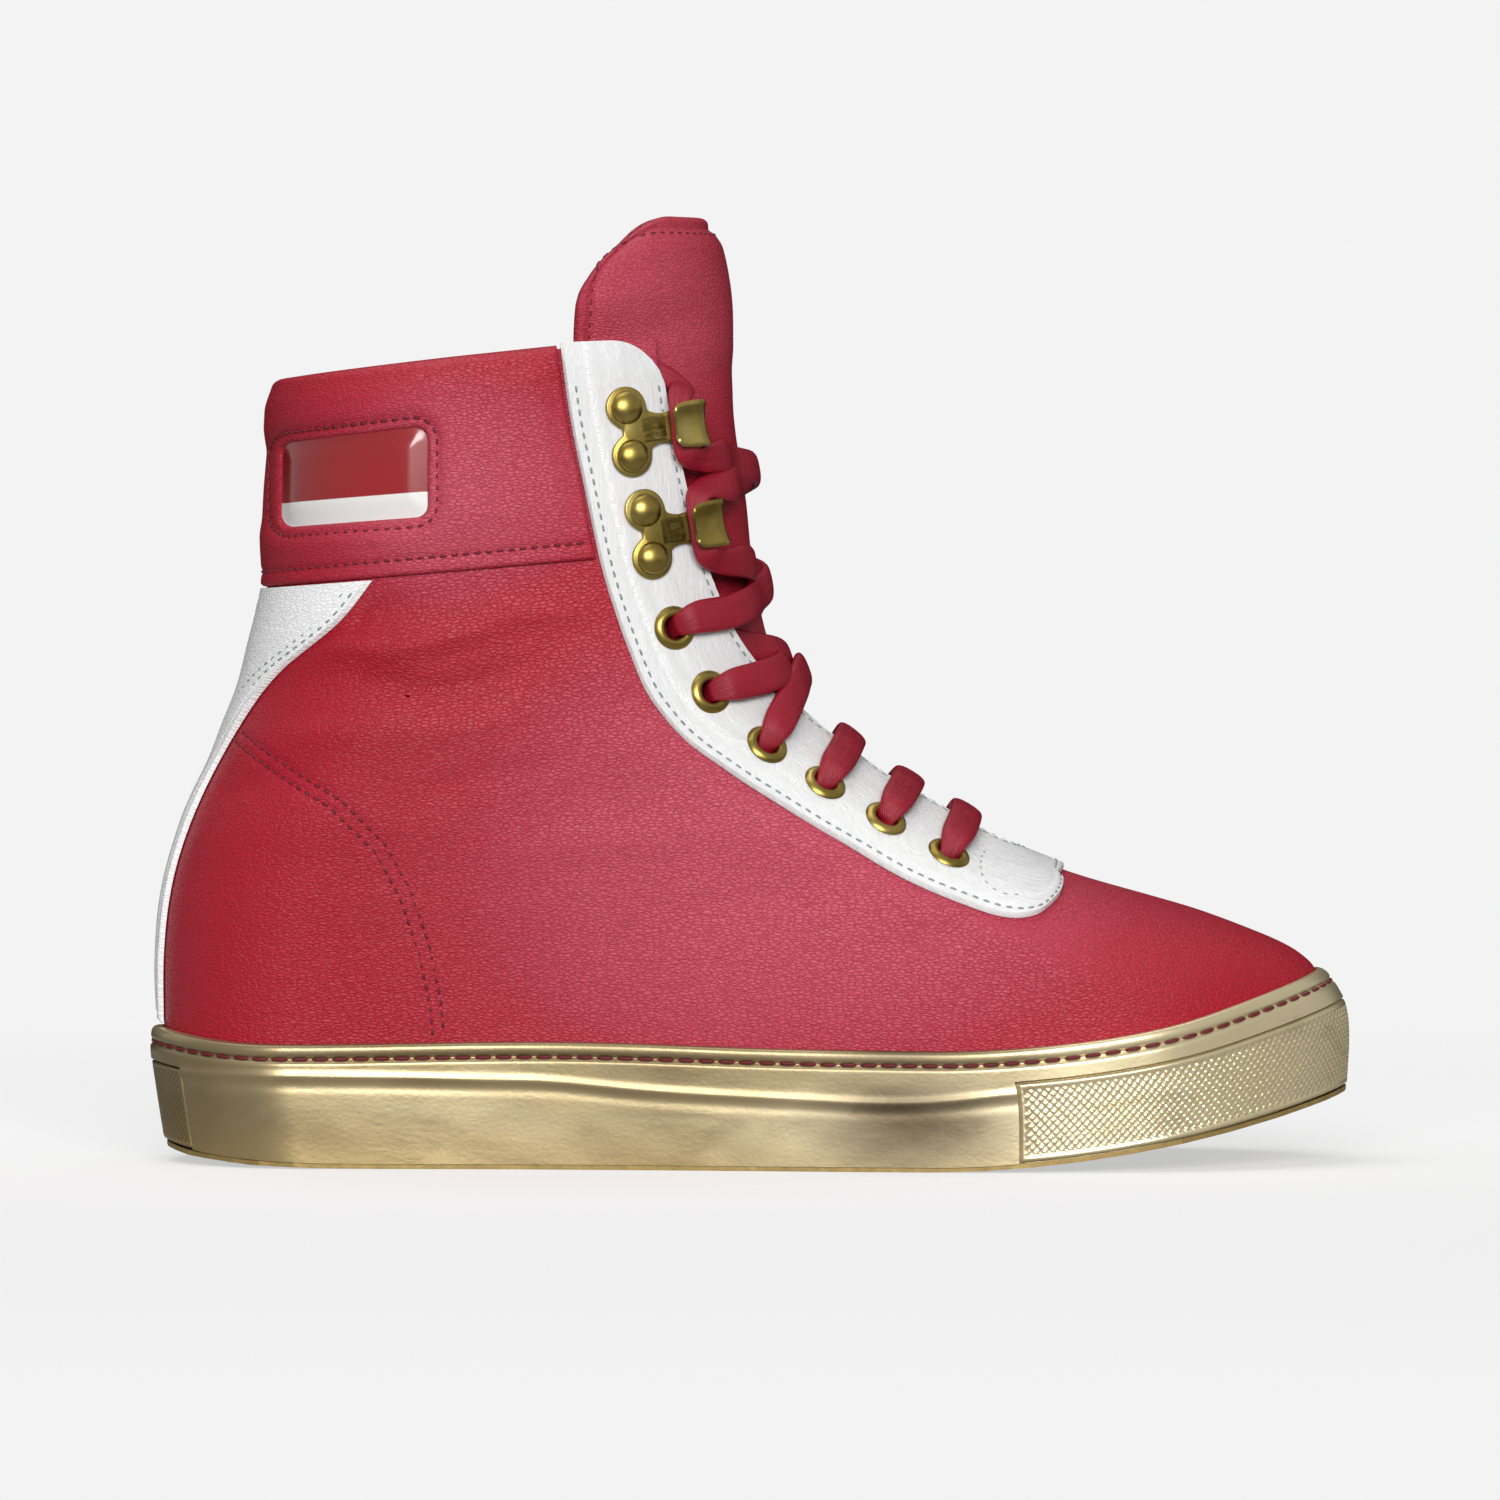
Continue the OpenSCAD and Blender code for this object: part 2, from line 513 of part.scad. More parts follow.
// Height zn of a level line at height z, at place a
function level_zn(a, z) = let (z1 = z - 10 * kz) z < lean_z ? z : level(base(a, z1)[0], z);
// The tongue's layer between shares f0 and f1 of its thickness, less gaps g0 and g1
module tongue_layer(zs, n, f0, g0, f1, g1) {
  function point(z, j, f, g) =
    let (e = tongue_a(level_zn(0.8, z)), a = mix(e, 2 - e, j / n), zn = level_zn(a, z),
         d = tongue_out(a, zn) - f * tongue_thick(a, zn) - g)
    skin(a, zn, d);
  sheet([for (z = zs) [for (j = [0:n]) point(z, j, f0, g0)]],
    [for (z = zs) [for (j = [0:n]) point(z, j, f1, g1)]], [for (z = zs) false]);
}
tongue_n = 12;
tongue_leather = 0.9;
tongue_zs = concat([for (z = [67, 74, 82, 90, 98, 106, 114, 122, 131, 140, 150, 161, 172, 183,
  194]) at_z(z)], [flex_z - flex_gap / 2]);
tongue_top_h = tongue_top_z - flex_z;
tongue_top_zs = [for (f = [0, 0.25, 0.5, 0.7, 0.86, 0.96, 1])
  flex_z + flex_gap / 2 + f * (tongue_top_h - flex_gap / 2)];
module tongue_stack(zs, part, n = tongue_n) {
  if (part == 0) tongue_layer(zs, n, 0, 0, 0, tongue_leather);
  if (part == 1) tongue_layer(zs, n, 0, tongue_leather + 0.2, 1, -tongue_leather - 0.2);
  if (part == 2) tongue_layer(zs, n, 1, -tongue_leather, 1, 0);
}
module tongue_face() { color("crimson") tongue_stack(tongue_zs, 0); }
module tongue_foam() { color("khaki") tongue_stack(tongue_zs, 1); }
module tongue_lining() { color("linen") tongue_stack(tongue_zs, 2); }
module tongue_top_face() { color("crimson") tongue_stack(tongue_top_zs, 0); }
module tongue_top_foam() { color("khaki") tongue_stack(tongue_top_zs, 1); }
module tongue_top_lining() { color("linen") tongue_stack(tongue_top_zs, 2); }

// One pressed eyelet: flange outside, barrel through the leather, rolled end inside
module eyelet(k, s) {
  r = eyelet_hole_d / 2;
  top = stay_out + 0.38;
  color("darkkhaki") stand(eyelets[k], s) rotate_extrude($fn = 48) polygon([
    [r, roll_in], [r + 1.4, roll_in], [r + 1.4, roll_in + brass_t], [r + brass_t, roll_in +
    brass_t], [r + brass_t, top], [eyelet_d / 2, top], [eyelet_d / 2, top + 0.3],
    [eyelet_d / 2 - 0.8, top + 0.8], [r + 0.8, top + 0.8], [r, top + 0.3]]);
}
module ring_washer(inner_d, outer_d) {
  translate([0, 0, washer_out - washer_t]) difference() {
    cylinder(d = outer_d, h = washer_t, $fn = 32);
    translate([0, 0, -1]) cylinder(d = inner_d, h = washer_t + 2, $fn = 32);
  }
}
module eyelet_washers() {
  color("darkkhaki") for (s = sides, p = eyelets)
    stand(p, s) ring_washer(eyelet_hole_d + 2 * brass_t + 0.1, eyelet_d - 1.4);
}

// Lace hook: a plate with two rivet lobes and a strip folded back over the lace
plate_z = stay_out + 0.35;
lobe_r = rivet_pitch / 2 - 0.7;
neck_x = 9;
fold_x = 16.4;
fold_r = 1.9;
tip_x = 10.8;
module hook_frame(k, s) {
  stand(hooks[k], s) rotate(-s * hook_tilt[k]) translate([0, 0, plate_z])
    rotate(s > 0 ? 180 : 0) children();
}
module lace_hook(k, s) {
  t = hook_t;
  fold = [for (w = [-90:18:90]) [fold_x + (fold_r + t) * cos(w), fold_r + t + (fold_r + t) *
    sin(w)]];
  inner = [for (w = [90:-18:-90]) [fold_x + fold_r * cos(w), fold_r + t + fold_r * sin(w)]];
  color("darkkhaki") hook_frame(k, s) difference() {
    union() {
      for (y = [-1, 1])
        translate([0, y * rivet_pitch / 2, 0]) cylinder(r = lobe_r, h = t, $fn = 48);
      translate([-3, -rivet_pitch / 2, 0]) cube([8, rivet_pitch, t]);
      rotate([90, 0, 0]) linear_extrude(hook_w, center = true) polygon(concat([[3, 0]],
        fold, [[tip_x, 2 * (fold_r + t)], [tip_x, 2 * fold_r + t]], inner, [[3, t]]));
    }
    for (y = [-1, 1])
      translate([0, y * rivet_pitch / 2, -1]) cylinder(d = shank_d + 0.1, h = 4, $fn = 32);
  }
}
// Rivet with a domed head outside and a spread tail inside the washer
module rivet() {
  r = shank_d / 2;
  head = rivet_d / 2;
  rise = 0.62 * head;
  ball = (head * head + rise * rise) / (2 * rise);
  tail = roll_in - plate_z;
  dome = [for (w = [0:8]) let (x = head * (1 - w / 8)) [x, hook_t + 0.05 + rise - ball +
    sqrt(ball * ball - x * x)]];
  rotate_extrude($fn = 48) polygon(concat([[0, tail], [r + 0.9, tail], [r + 0.9, tail +
    brass_t], [r, tail + brass_t], [r, hook_t + 0.05]], dome));
}
module hook_rivets() {
  color("darkkhaki") for (s = sides, k = [0:1]) hook_frame(k, s) for (y = [-1, 1])
    translate([0, y * rivet_pitch / 2, 0]) rivet();
}
module rivet_washers() {
  color("darkkhaki") for (s = sides, k = [0:1]) hook_frame(k, s) for (y = [-1, 1])
    translate([0, y * rivet_pitch / 2, -plate_z]) ring_washer(shank_d + 0.1, 2 * lobe_r - 2);
}

// The lace's route, as points [place, kind, direction, width, thickness]. Kind 0 gives the
// leather's normal there and kind 1 gives the direction of the lace's width.
bore_w = 4.2;
bore_t = 2.6;
function on_skin(a, zn, h, w = lace_w) = [skin(a, zn, h), 0, normal_at(a, zn), w, lace_t];
function eyelet_at(s, k, h) = skin(s * eyelets[k][0], eyelets[k][1], h);
// Direction along the leather from an eyelet to a point
function heading(s, k, target) =
  let (n = normal_at(s * eyelets[k][0], eyelets[k][1]), v = target - eyelet_at(s, k, 0))
  unit(v - (v * n) * n);
// Points through an eyelet from outside to inside, towards two other points
function pass(s, k, outer, inner) =
  let (n = normal_at(s * eyelets[k][0], eyelets[k][1]), g = heading(s, k, outer),
       i = heading(s, k, inner), wg = cross(n, g), w1 = cross(n, i),
       wi = w1 * wg < 0 ? -w1 : w1, th = lace_t + 0.3)
  [[eyelet_at(s, k, lace_over) + 5 * g, 0, n, lace_w, lace_t],
   [eyelet_at(s, k, lace_over - 0.3) + 2.4 * g, 1, wg, mix(bore_w, lace_w, 0.6), th],
   [eyelet_at(s, k, trim_out + 0.2) + 0.5 * g, 1, wg, bore_w, bore_t],
   [eyelet_at(s, k, leather_in + 0.6), 1, unit(wg + wi), bore_w, bore_t],
   [eyelet_at(s, k, roll_in + 0.2) + 0.5 * i, 1, wi, bore_w, bore_t],
   [eyelet_at(s, k, lace_under) + 2.6 * i, 1, wi, mix(bore_w, lace_w, 0.5), th],
   [eyelet_at(s, k, lace_under) + 5.2 * i, 0, n, lace_w, lace_t]];
function reverse(l) = [for (i = [len(l) - 1:-1:0]) l[i]];
// Height zn of the front ridge at x
function ridge_zn(x, lo = throat_z - 20, hi = collar_z, n = 16) =
  let (m = (lo + hi) / 2)
  n == 0 ? m : front_x(m) > x ? ridge_zn(x, m, hi, n - 1) : ridge_zn(x, lo, m, n - 1);
// Straight bar over the gap between the two eyelets of a pair
bar_reach = [0, 0, 9, 7.7, 7.9, 5.7];
function bar_top(k) =
  [1, ridge_zn(base(eyelets[k][0], eyelets[k][1])[0] + bar_reach[k] * kx)];
function bar_mid(k, h) = skin(1, bar_top(k)[1], h);
function bar_point(s, k, f) =
  let (p = mix(eyelets[k], bar_top(k), f)) on_skin(s * p[0], p[1], lace_over - 0.5 * f);
function bar(s, k) = [bar_point(s, k, 0.66), bar_point(s, k, 0.86), bar_point(-s, k, 0.86),
  bar_point(-s, k, 0.66)];
// Strand over the tongue from p1 on side s to p2 on the other side. h1 and h2 are the heights
// at its ends, t1 and t2 the shares of its length that it takes to reach the tongue.
function strand_place(s, p1, p2, t) =
  [s * mix(p1[0], 2 - p2[0], t), mix(p1[1], p2[1], t)];
function strand(s, p1, h1, t1, p2, h2, t2, over, ts) =
  [for (t = ts) let (p = strand_place(s, p1, p2, t),
    run = tongue_out(p[0], p[1]) + lace_t / 2 + 0.25
      + (over ? (lace_t + 0.35) * (1 - ease((abs(t - 0.5) - 0.06) / 0.16)) : 0),
    h = run + (h1 - run) * ease((t1 - t) / 0.2) + (h2 - run) * ease((t - 1 + t2) / 0.2))
    on_skin(p[0], p[1], h)];
// Middle of a hook's slot, y up along the boot from its centre
slot_x = 13.4;
function slot(k, s, y) =
  let (a = s * hooks[k][0], n = normal_at(a, hooks[k][1]), up = unit([0, 0, 1] - n[2] * n),
       f = -s * cross(up, n), w = hook_tilt[k], c = f * cos(w) + up * sin(w),
       v = up * cos(w) - f * sin(w))
  [skin(a, hooks[k][1], plate_z + fold_r + hook_t) + slot_x * c + y * v, 1, c, 5.6, lace_t];
function near(p) = let (zn = level(p[0], p[2])) [ring_a(p[0], zn), zn];
function slot_run(k, s) = [slot(k, s, -8), slot(k, s, 0), slot(k, s, 8)];
// Tail of the lace, tucked in behind the eyestay: [x, z, height]
tail = [[-17.6, 192.5, 2.4], [-21, 196, -2.6], [-26, 197.4, lace_under], [-31.5, 195, lace_under],
  [-35.8, 188.5, lace_under], [-37.2, 181, -3.4], [-37, 176, -3.1]];
function tail_point(s, p) =
  let (zn = level(at_x(p[0]), at_z(p[1]))) on_skin(s * ring_a(at_x(p[0]), zn), zn, p[2], 6);
function tail_run(s) = [for (p = tail) tail_point(s, p)];
over_ts = [0.15, 0.22, 0.3, 0.38, 0.46, 0.54, 0.62, 0.7, 0.78, 0.85];
slot_ts = [0.15, 0.22, 0.3, 0.38, 0.46, 0.54, 0.62, 0.72, 0.86];
slots_ts = [0.12, 0.24, 0.36, 0.46, 0.54, 0.64, 0.76, 0.88];
reach_over = 0.44;
reach_slot = 0.3;
function eyelet_pair(s, k1, k2, t) =
  let (p = strand_place(s, eyelets[k1], eyelets[k2], t)) skin(p[0], p[1], 0);
// From the lower hook on side s down to the first eyelet on the other side
function hook_strand(s, over) =
  let (p = near(slot(1, s, -7.5)[0]))
  strand(s, p, 3.6, reach_slot, eyelets[0], lace_over, reach_over, over, reverse([for (t = slot_ts)
    1 - t]));
// From the upper hook on side s down to the lower hook on the other side
function hooks_strand(s, over) =
  strand(s, near(slot(0, s, -7.5)[0]), 3.6, reach_slot, near(slot(1, -s, 7.5)[0]), 3.6,
    reach_slot, over, slots_ts);
function hook_side(s) = skin(s, eyelets[0][1] + 12, 0);
function inside_up(s, k) = skin(s * mix(eyelets[k][0], 1, 0.75), eyelets[k][1] - 5, 0);
centre_run = [for (z = [84, 90, 96]) on_skin(1, at_z(z), tongue_mid + lace_t / 2 + 0.4)];
// Points on the tongue, inside the boot, from one place to another
function inside_run(p, q, ts) = [for (t = ts) let (r = mix(p, q, t))
  on_skin(r[0], r[1], tongue_out(r[0], r[1]) + lace_t / 2 + 0.6)];
half_a = concat(
  reverse(tail_run(-1)), reverse(slot_run(0, -1)),
  hooks_strand(-1, true), reverse(slot_run(1, 1)),
  hook_strand(1, true),
  pass(-1, 0, hook_side(1), eyelet_pair(-1, 0, 1, 0.2)),
  strand(-1, eyelets[0], lace_under, 0.2, eyelets[1], lace_over, reach_over, true, over_ts),
  pass(1, 1, eyelet_pair(1, 1, 0, 0.2), eyelet_at(1, 2, 0)),
  reverse(pass(1, 2, bar_mid(2, 0), eyelet_at(1, 1, 0))), bar(1, 2),
  pass(-1, 2, bar_mid(2, 0), eyelet_at(-1, 3, 0)),
  reverse(pass(-1, 3, bar_mid(3, 0), eyelet_at(-1, 2, 0))), bar(-1, 3),
  pass(1, 3, bar_mid(3, 0), eyelet_at(1, 4, 0)),
  reverse(pass(1, 4, bar_mid(4, 0), eyelet_at(1, 3, 0))), bar(1, 4),
  pass(-1, 4, bar_mid(4, 0), eyelet_at(-1, 5, 0)),
  reverse(pass(-1, 5, bar_mid(5, 0), eyelet_at(-1, 4, 0))), bar(-1, 5));
half_b = concat(
  pass(1, 5, bar_mid(5, 0), inside_up(1, 4)),
  inside_run([eyelets[5][0], eyelets[5][1]], [1, at_z(84)], [0.5, 0.65, 0.8, 0.92]), centre_run,
  inside_run([-1, at_z(98)], [-eyelets[1][0], eyelets[1][1]], [0.14, 0.28, 0.42, 0.56, 0.7, 0.82]),
  reverse(pass(-1, 1, eyelet_pair(-1, 1, 0, 0.2), inside_up(-1, 1))),
  strand(-1, eyelets[1], lace_over, reach_over, eyelets[0], lace_under, 0.2, false, over_ts),
  reverse(pass(1, 0, hook_side(-1), eyelet_pair(1, 0, 1, 0.2))),
  reverse(hook_strand(-1, false)), slot_run(1, -1),
  reverse(hooks_strand(1, false)), slot_run(0, 1), tail_run(1));
lace_route = concat(half_a, half_b);

module lace() {
  n = len(lace_route) - 1;
  spots = [for (p = lace_route) p[0]];
  runs = [for (i = [0:n]) unit(unit(spots[min(i + 1, n)] - spots[max(i - 1, 0)]))];
  raw = [for (i = [0:n]) let (p = lace_route[i], c = p[1] == 0 ? cross(p[2], runs[i]) :
    p[2] - (p[2] * runs[i]) * runs[i]) unit(c)];
  across = [for (i = 0, w = raw[0]; i <= n; i = i + 1, w = i > n ? w :
    raw[i] * w < 0 ? -raw[i] : raw[i]) w];
  function ring(i) =
    let (p = lace_route[i], w = across[i] * p[3] / 2, e = across[i] * (p[3] / 2 - p[4] * 0.35),
         b = cross(runs[i], across[i]) * p[4] / 2)
    [spots[i] + w, spots[i] + e + b, spots[i] - e + b, spots[i] - w, spots[i] - e - b,
     spots[i] + e - b];
  m = 6;
  function id(i, k) = i * m + k % m;
  color("crimson") polyhedron(points = flat([for (i = [0:n]) ring(i)]), faces = concat(
    [for (i = [0:n - 1], k = [0:m - 1]) each [[id(i, k), id(i + 1, k), id(i + 1, k + 1)],
      [id(i, k), id(i + 1, k + 1), id(i, k + 1)]]],
    [for (k = [1:m - 2]) each [[id(0, 0), id(0, k), id(0, k + 1)],
      [id(n, 0), id(n, k + 1), id(n, k)]]]), convexity = 20);
  echo(lace_length = sum_to(spots, n));
}
function sum_to(p, n) = n == 0 ? 0 : norm(p[n] - p[n - 1]) + sum_to(p, n - 1);

// Stiff tip in line with the lace's tail
module aglet(s) {
  run = tail_run(s);
  n = len(run) - 1;
  top = run[n][0];
  foot = tail_point(s, [-35.6, 156, -3.1])[0];
  v = unit(foot - top);
  side = unit(cross(v, [0, 1, 0]));
  up = cross(side, v);
  at = top + 0.1 * v;
  color("black") multmatrix([[side[0], up[0], v[0], at[0]], [side[1], up[1], v[1], at[1]],
    [side[2], up[2], v[2], at[2]], [0, 0, 0, 1]]) cylinder(d = 2.4, h = aglet_l, $fn = 24);
}

outsole();
sidewall();
toe_bumper();
heel_patch();
sidewall_thread();
midsole();
insole_board();
footbed();
heel_counter();
toe_puff();
upper();
backstay();
eyestay();
collar_band();
collar_foam();
label_insert();
lining();
tongue_face();
tongue_foam();
tongue_lining();
tongue_top_face();
tongue_top_foam();
tongue_top_lining();
eyelet_washers();
hook_rivets();
rivet_washers();
for (s = sides, k = [0:5])
  eyelet(k, s);
for (s = sides, k = [0:1])
  lace_hook(k, s);
lace();
aglet(-1);  // aglet_lateral
aglet(1);  // aglet_medial
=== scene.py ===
"""High-top boxing boot: leather, trim, lace, hardware and foil-covered sole."""
import json
import math

import bmesh
import bpy
import numpy as np
from mathutils import Matrix, Vector

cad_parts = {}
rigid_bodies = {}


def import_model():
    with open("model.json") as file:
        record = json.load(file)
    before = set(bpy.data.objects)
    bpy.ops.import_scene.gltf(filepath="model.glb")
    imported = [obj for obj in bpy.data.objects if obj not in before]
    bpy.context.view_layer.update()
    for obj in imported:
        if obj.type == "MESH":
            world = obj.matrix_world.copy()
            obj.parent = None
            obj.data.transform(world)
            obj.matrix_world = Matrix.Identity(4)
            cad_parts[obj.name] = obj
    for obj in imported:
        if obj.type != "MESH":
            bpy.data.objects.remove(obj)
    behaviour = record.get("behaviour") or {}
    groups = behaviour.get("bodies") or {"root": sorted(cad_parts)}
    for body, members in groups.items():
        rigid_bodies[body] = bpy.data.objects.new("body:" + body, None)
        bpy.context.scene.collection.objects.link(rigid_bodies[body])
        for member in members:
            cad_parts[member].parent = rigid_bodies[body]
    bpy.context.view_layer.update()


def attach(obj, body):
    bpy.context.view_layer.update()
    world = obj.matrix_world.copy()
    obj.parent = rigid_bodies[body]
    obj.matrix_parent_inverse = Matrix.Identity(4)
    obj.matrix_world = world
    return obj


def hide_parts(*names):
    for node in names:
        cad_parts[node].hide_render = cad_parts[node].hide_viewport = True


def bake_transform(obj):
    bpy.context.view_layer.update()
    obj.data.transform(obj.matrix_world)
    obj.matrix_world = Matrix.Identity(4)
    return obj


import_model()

MM = 0.001
UV_SCALE = 0.01

# ---------------------------------------------------------------- the boot's sizes, in mm

SHAFT_W = 82.0
WALL_T = 3.5
SOLE_H = 30.0
TOE_SPRING = 18.0
LEATHER_T = 1.4
TRIM_IN, TRIM_OUT = 0.35, 1.75
LINING_OUT = -3.7
COLLAR_IN = -5.9
LINING_T = 0.8
COLLAR_Z = 194.6
BAND_Z = 143.3
THROAT_Z = 76.5
TONGUE_TOP_Z = 236.0
BRASS_T = 0.5
EYELET_HOLE_D = 5.6
WASHER_OUT = -LEATHER_T - 0.6
ROLL_IN = WASHER_OUT - 0.4 - 0.05 - BRASS_T
HOOK_T, HOOK_W, RIVET_D, RIVET_PITCH = 0.9, 11.5, 8.2, 12.0
PLATE_Z = TRIM_OUT + 0.5
FOLD_X, FOLD_R, SLOT_X = 16.4, 1.9, 13.4
LACE_W, LACE_T = 8.0, 1.5
LACE_UNDER = ROLL_IN - LACE_T / 2 - 0.15
TONGUE_UNDER = LACE_UNDER - LACE_T / 2 - 0.35
TONGUE_MID = -2.6
LACE_OVER = TRIM_OUT + 0.15 + BRASS_T + 0.95 + LACE_T / 2
TONGUE_T = 7.0
BUMPER_X, PATCH_X = 64.5, -141.0


def smooth(points):
    """Smooth curve through a table's points."""
    x, y = np.array(points, float).T
    steep = np.gradient(y, x)
    steep[1:-1] = (y[2:] - y[:-2]) / (x[2:] - x[:-2])

    def at(v):
        v = np.asarray(v, float)
        i = np.clip(np.searchsorted(x, v, "right") - 1, 0, len(x) - 2)
        h = x[i + 1] - x[i]
        u = np.clip((v - x[i]) / h, 0, 1)
        w = 1 - u
        return (y[i] * (1 + 2 * u) * w * w + steep[i] * h * u * w * w
                + y[i + 1] * u * u * (3 - 2 * u) - steep[i + 1] * h * u * u * w)
    return at


back_x = smooth([[10, -145.8], [34, -146.5], [50, -147], [68, -145.3], [86, -140], [104, -131.9],
                 [117, -127], [142, -120.8], [170, -118.9], [185, -117.9], [205, -116.5],
                 [240, -114]])
front_profile = smooth([[10, 145.8], [20, 145.3], [26, 143.8], [32, 141.5], [35, 139.7],
                        [40, 134.7], [46, 126.3], [54.5, 112.3], [60.7, 99.8], [70.4, 78.2],
                        [78.3, 62.5], [86, 50], [94.5, 35.5], [99.5, 28.5], [108.5, 17.5],
                        [117, 11.8], [130, 7], [140, 4.6], [150, 3], [165, 1.5], [180, -0.8],
                        [190, -1.9], [204, -3], [219, -3.8], [229, -5.5], [234, -8],
                        [242, -13]])
heel_x = smooth([[0, -145.6], [4, -146.3], [18, -148.5], [28, -149.8], [34, -149.4]])
toe_x = smooth([[0, 149.2], [13, 149.9], [20.5, 149.2], [26, 147], [30.5, 144.4], [33.5, 142]])
rim_z = smooth([[-150, 33.8], [-133, 31.4], [-116, 30.6], [-45, 31.4], [12, 30], [63, 29.5],
                [105, 29.3], [130, 31], [150, 32.4]])
plan_lateral = smooth([[-150, 35], [-110, 37], [-60, 38.5], [-10, 44], [35, 50], [68, 52],
                       [100, 49], [130, 42], [150, 38]])
plan_medial = smooth([[-150, 35], [-110, 37], [-60, 36], [-20, 37.5], [20, 44.5], [70, 52],
                      [95, 51], [120, 47.5], [150, 44]])
half_gap = smooth([[76.5, 0.2], [77.3, 4], [79, 6.5], [85, 8], [95, 8.6], [104, 9.6], [109, 12],
                   [114, 16.5], [119.5, 21.5], [126, 25], [135, 27.5], [150, 30.3], [168, 31.2],
                   [178, 32], [190, 32.5], [240, 32.5]])
eyestay_rear = smooth([[62.8, 61.5], [66.5, 49.4], [72.85, 35.4], [79.15, 24.85], [86.9, 11.5],
                       [95.3, -1.8], [103.75, -13.75], [110.75, -20.75], [117.75, -25.65],
                       [126.8, -29.5], [141.65, -34.4], [153, -37.9], [168.8, -40.8],
                       [182.75, -43.8], [204, -46.8], [240, -50]])
backstay_front = smooth([[31, -146], [54.6, -145.6], [72.75, -142.8], [90.9, -136.2],
                         [109, -126.2], [121.8, -116.2], [133.65, -100.75], [144, -91.6]])
tongue_rear = smooth([[66, 62], [76, 44], [90, 20], [104, -2], [118, -18], [140, -30], [165, -37],
                      [190, -41.5], [204.75, -42.3], [219.5, -41.2], [228.35, -38.3],
                      [234.2, -33.6], [240, -28]])


def mix(a, b, t):
    return a + (b - a) * t


def ease(t):
    u = np.clip(t, 0, 1)
    return u * u * (3 - 2 * u)


def unit(v):
    return v / np.maximum(np.linalg.norm(v, axis=-1, keepdims=True), 1e-9)


# ------------------------------------------------------------------ the last's surface
# A point has a place round the foot, a, from -1 at the toe round the lateral side to 0 at the
# heel and 1 at the toe again, and a height zn before the collar's slope and the toe's spring.

def toe_lift(x):
    return TOE_SPRING * (np.maximum(x - 45, 0) / 105) ** 1.8


def heel_lift(x):
    return 3.75 * (np.maximum(-60 - x, 0) / 86.3) ** 5


def lean(zn):
    return 0.106 * ease((zn - 100) / 60)


def front_x(zn):
    return front_profile(zn + lean(zn) * 113)


def round_end(s):
    return np.sqrt(np.maximum(1 - (1 - np.clip(s, 0, 1)) ** 2, 0))


def plan_w(x, side):
    return np.where(side < 0, plan_lateral(x), plan_medial(x))


def half_w(x, side, zn):
    f = ease((zn - SOLE_H) / (112 - SOLE_H))
    p = mix(plan_w(x, side) - WALL_T, SHAFT_W / 2, f)
    return (p * round_end((x - back_x(zn)) / mix(35, 44, f))
            * round_end((front_x(zn) - x) / mix(51, 50, f)))


def wrap(a):
    return np.where(a > 1, a - 2, np.where(a < -1, a + 2, a))


def ring_x(a, xb, xf):
    return xb + (xf - xb) * (1 - np.cos(np.pi * np.abs(a))) / 2


def base(a, zn):
    a, zn = np.broadcast_arrays(wrap(np.asarray(a, float)), np.asarray(zn, float))
    side = np.where(a < 0, -1, 1)
    xb = back_x(zn)
    x = ring_x(a, xb, front_x(zn))
    return np.stack([x, side * half_w(x, side, zn), zn + lean(zn) * (x - xb) + toe_lift(x)], -1)


def normal_at(a, zn):
    return unit(np.cross(base(a, zn + 0.4) - base(a, zn - 0.4),
                         base(a + 0.004, zn) - base(a - 0.004, zn)))


def skin(a, zn, d=0.0):
    a, zn = np.asarray(a, float), np.asarray(zn, float)
    return base(a, zn) + np.asarray(d, float)[..., None] * normal_at(a, zn)


def ring_a(x, zn):
    xb, xf = back_x(zn), front_x(zn)
    return np.arccos(np.clip(1 - 2 * (x - xb) / (xf - xb), -1, 1)) / np.pi


def level(x, z):
    z1 = z - toe_lift(x)
    zn = z1
    for _ in range(3):
        zn = z1 - lean(zn) * (x - back_x(zn))
    return zn


def spot(x, z, h=0.0):
    zn = level(x, z)
    n = normal_at(ring_a(x, zn), zn)
    x1 = x - h * n[..., 0]
    z1 = level(x1, z - h * n[..., 2])
    return np.array([ring_a(x1, z1), z1])


def throat_a(zn, m=0.0):
    g, xf = half_gap(zn), front_x(zn)
    p = half_w(xf - 50, np.full(np.shape(zn), -1), zn)
    u = np.clip(g / p, 0, 1)
    return np.where(zn <= THROAT_Z, 1.0, ring_a(xf - 50 * (1 - np.sqrt(1 - u * u)) - m, zn))


def rear_a(zn, m=0.0):
    return ring_a(eyestay_rear(zn + lean(zn) * 80) - m, zn)


def wall_base(a, z):
    a, z = np.broadcast_arrays(wrap(np.asarray(a, float)), np.asarray(z, float))
    side = np.where(a < 0, -1, 1)
    x = ring_x(a, heel_x(z), toe_x(z))
    w = plan_w(x, side) * round_end((x - heel_x(z)) / 35) * round_end((toe_x(z) - x) / 51)
    return np.stack([x, side * w, z + toe_lift(x)], -1)


def wall_normal(a, z):
    t = wall_base(a + 0.004, z) - wall_base(a - 0.004, z)
    return unit(np.stack([-t[..., 1], t[..., 0], 0 * t[..., 0]], -1))


def wall(a, z, d=0.0):
    return wall_base(a, z) + np.asarray(d, float)[..., None] * wall_normal(a, z)


def wall_x(a):
    return ring_x(wrap(a), -149.0, 148.0)


# ------------------------------------------------------------------ finishes

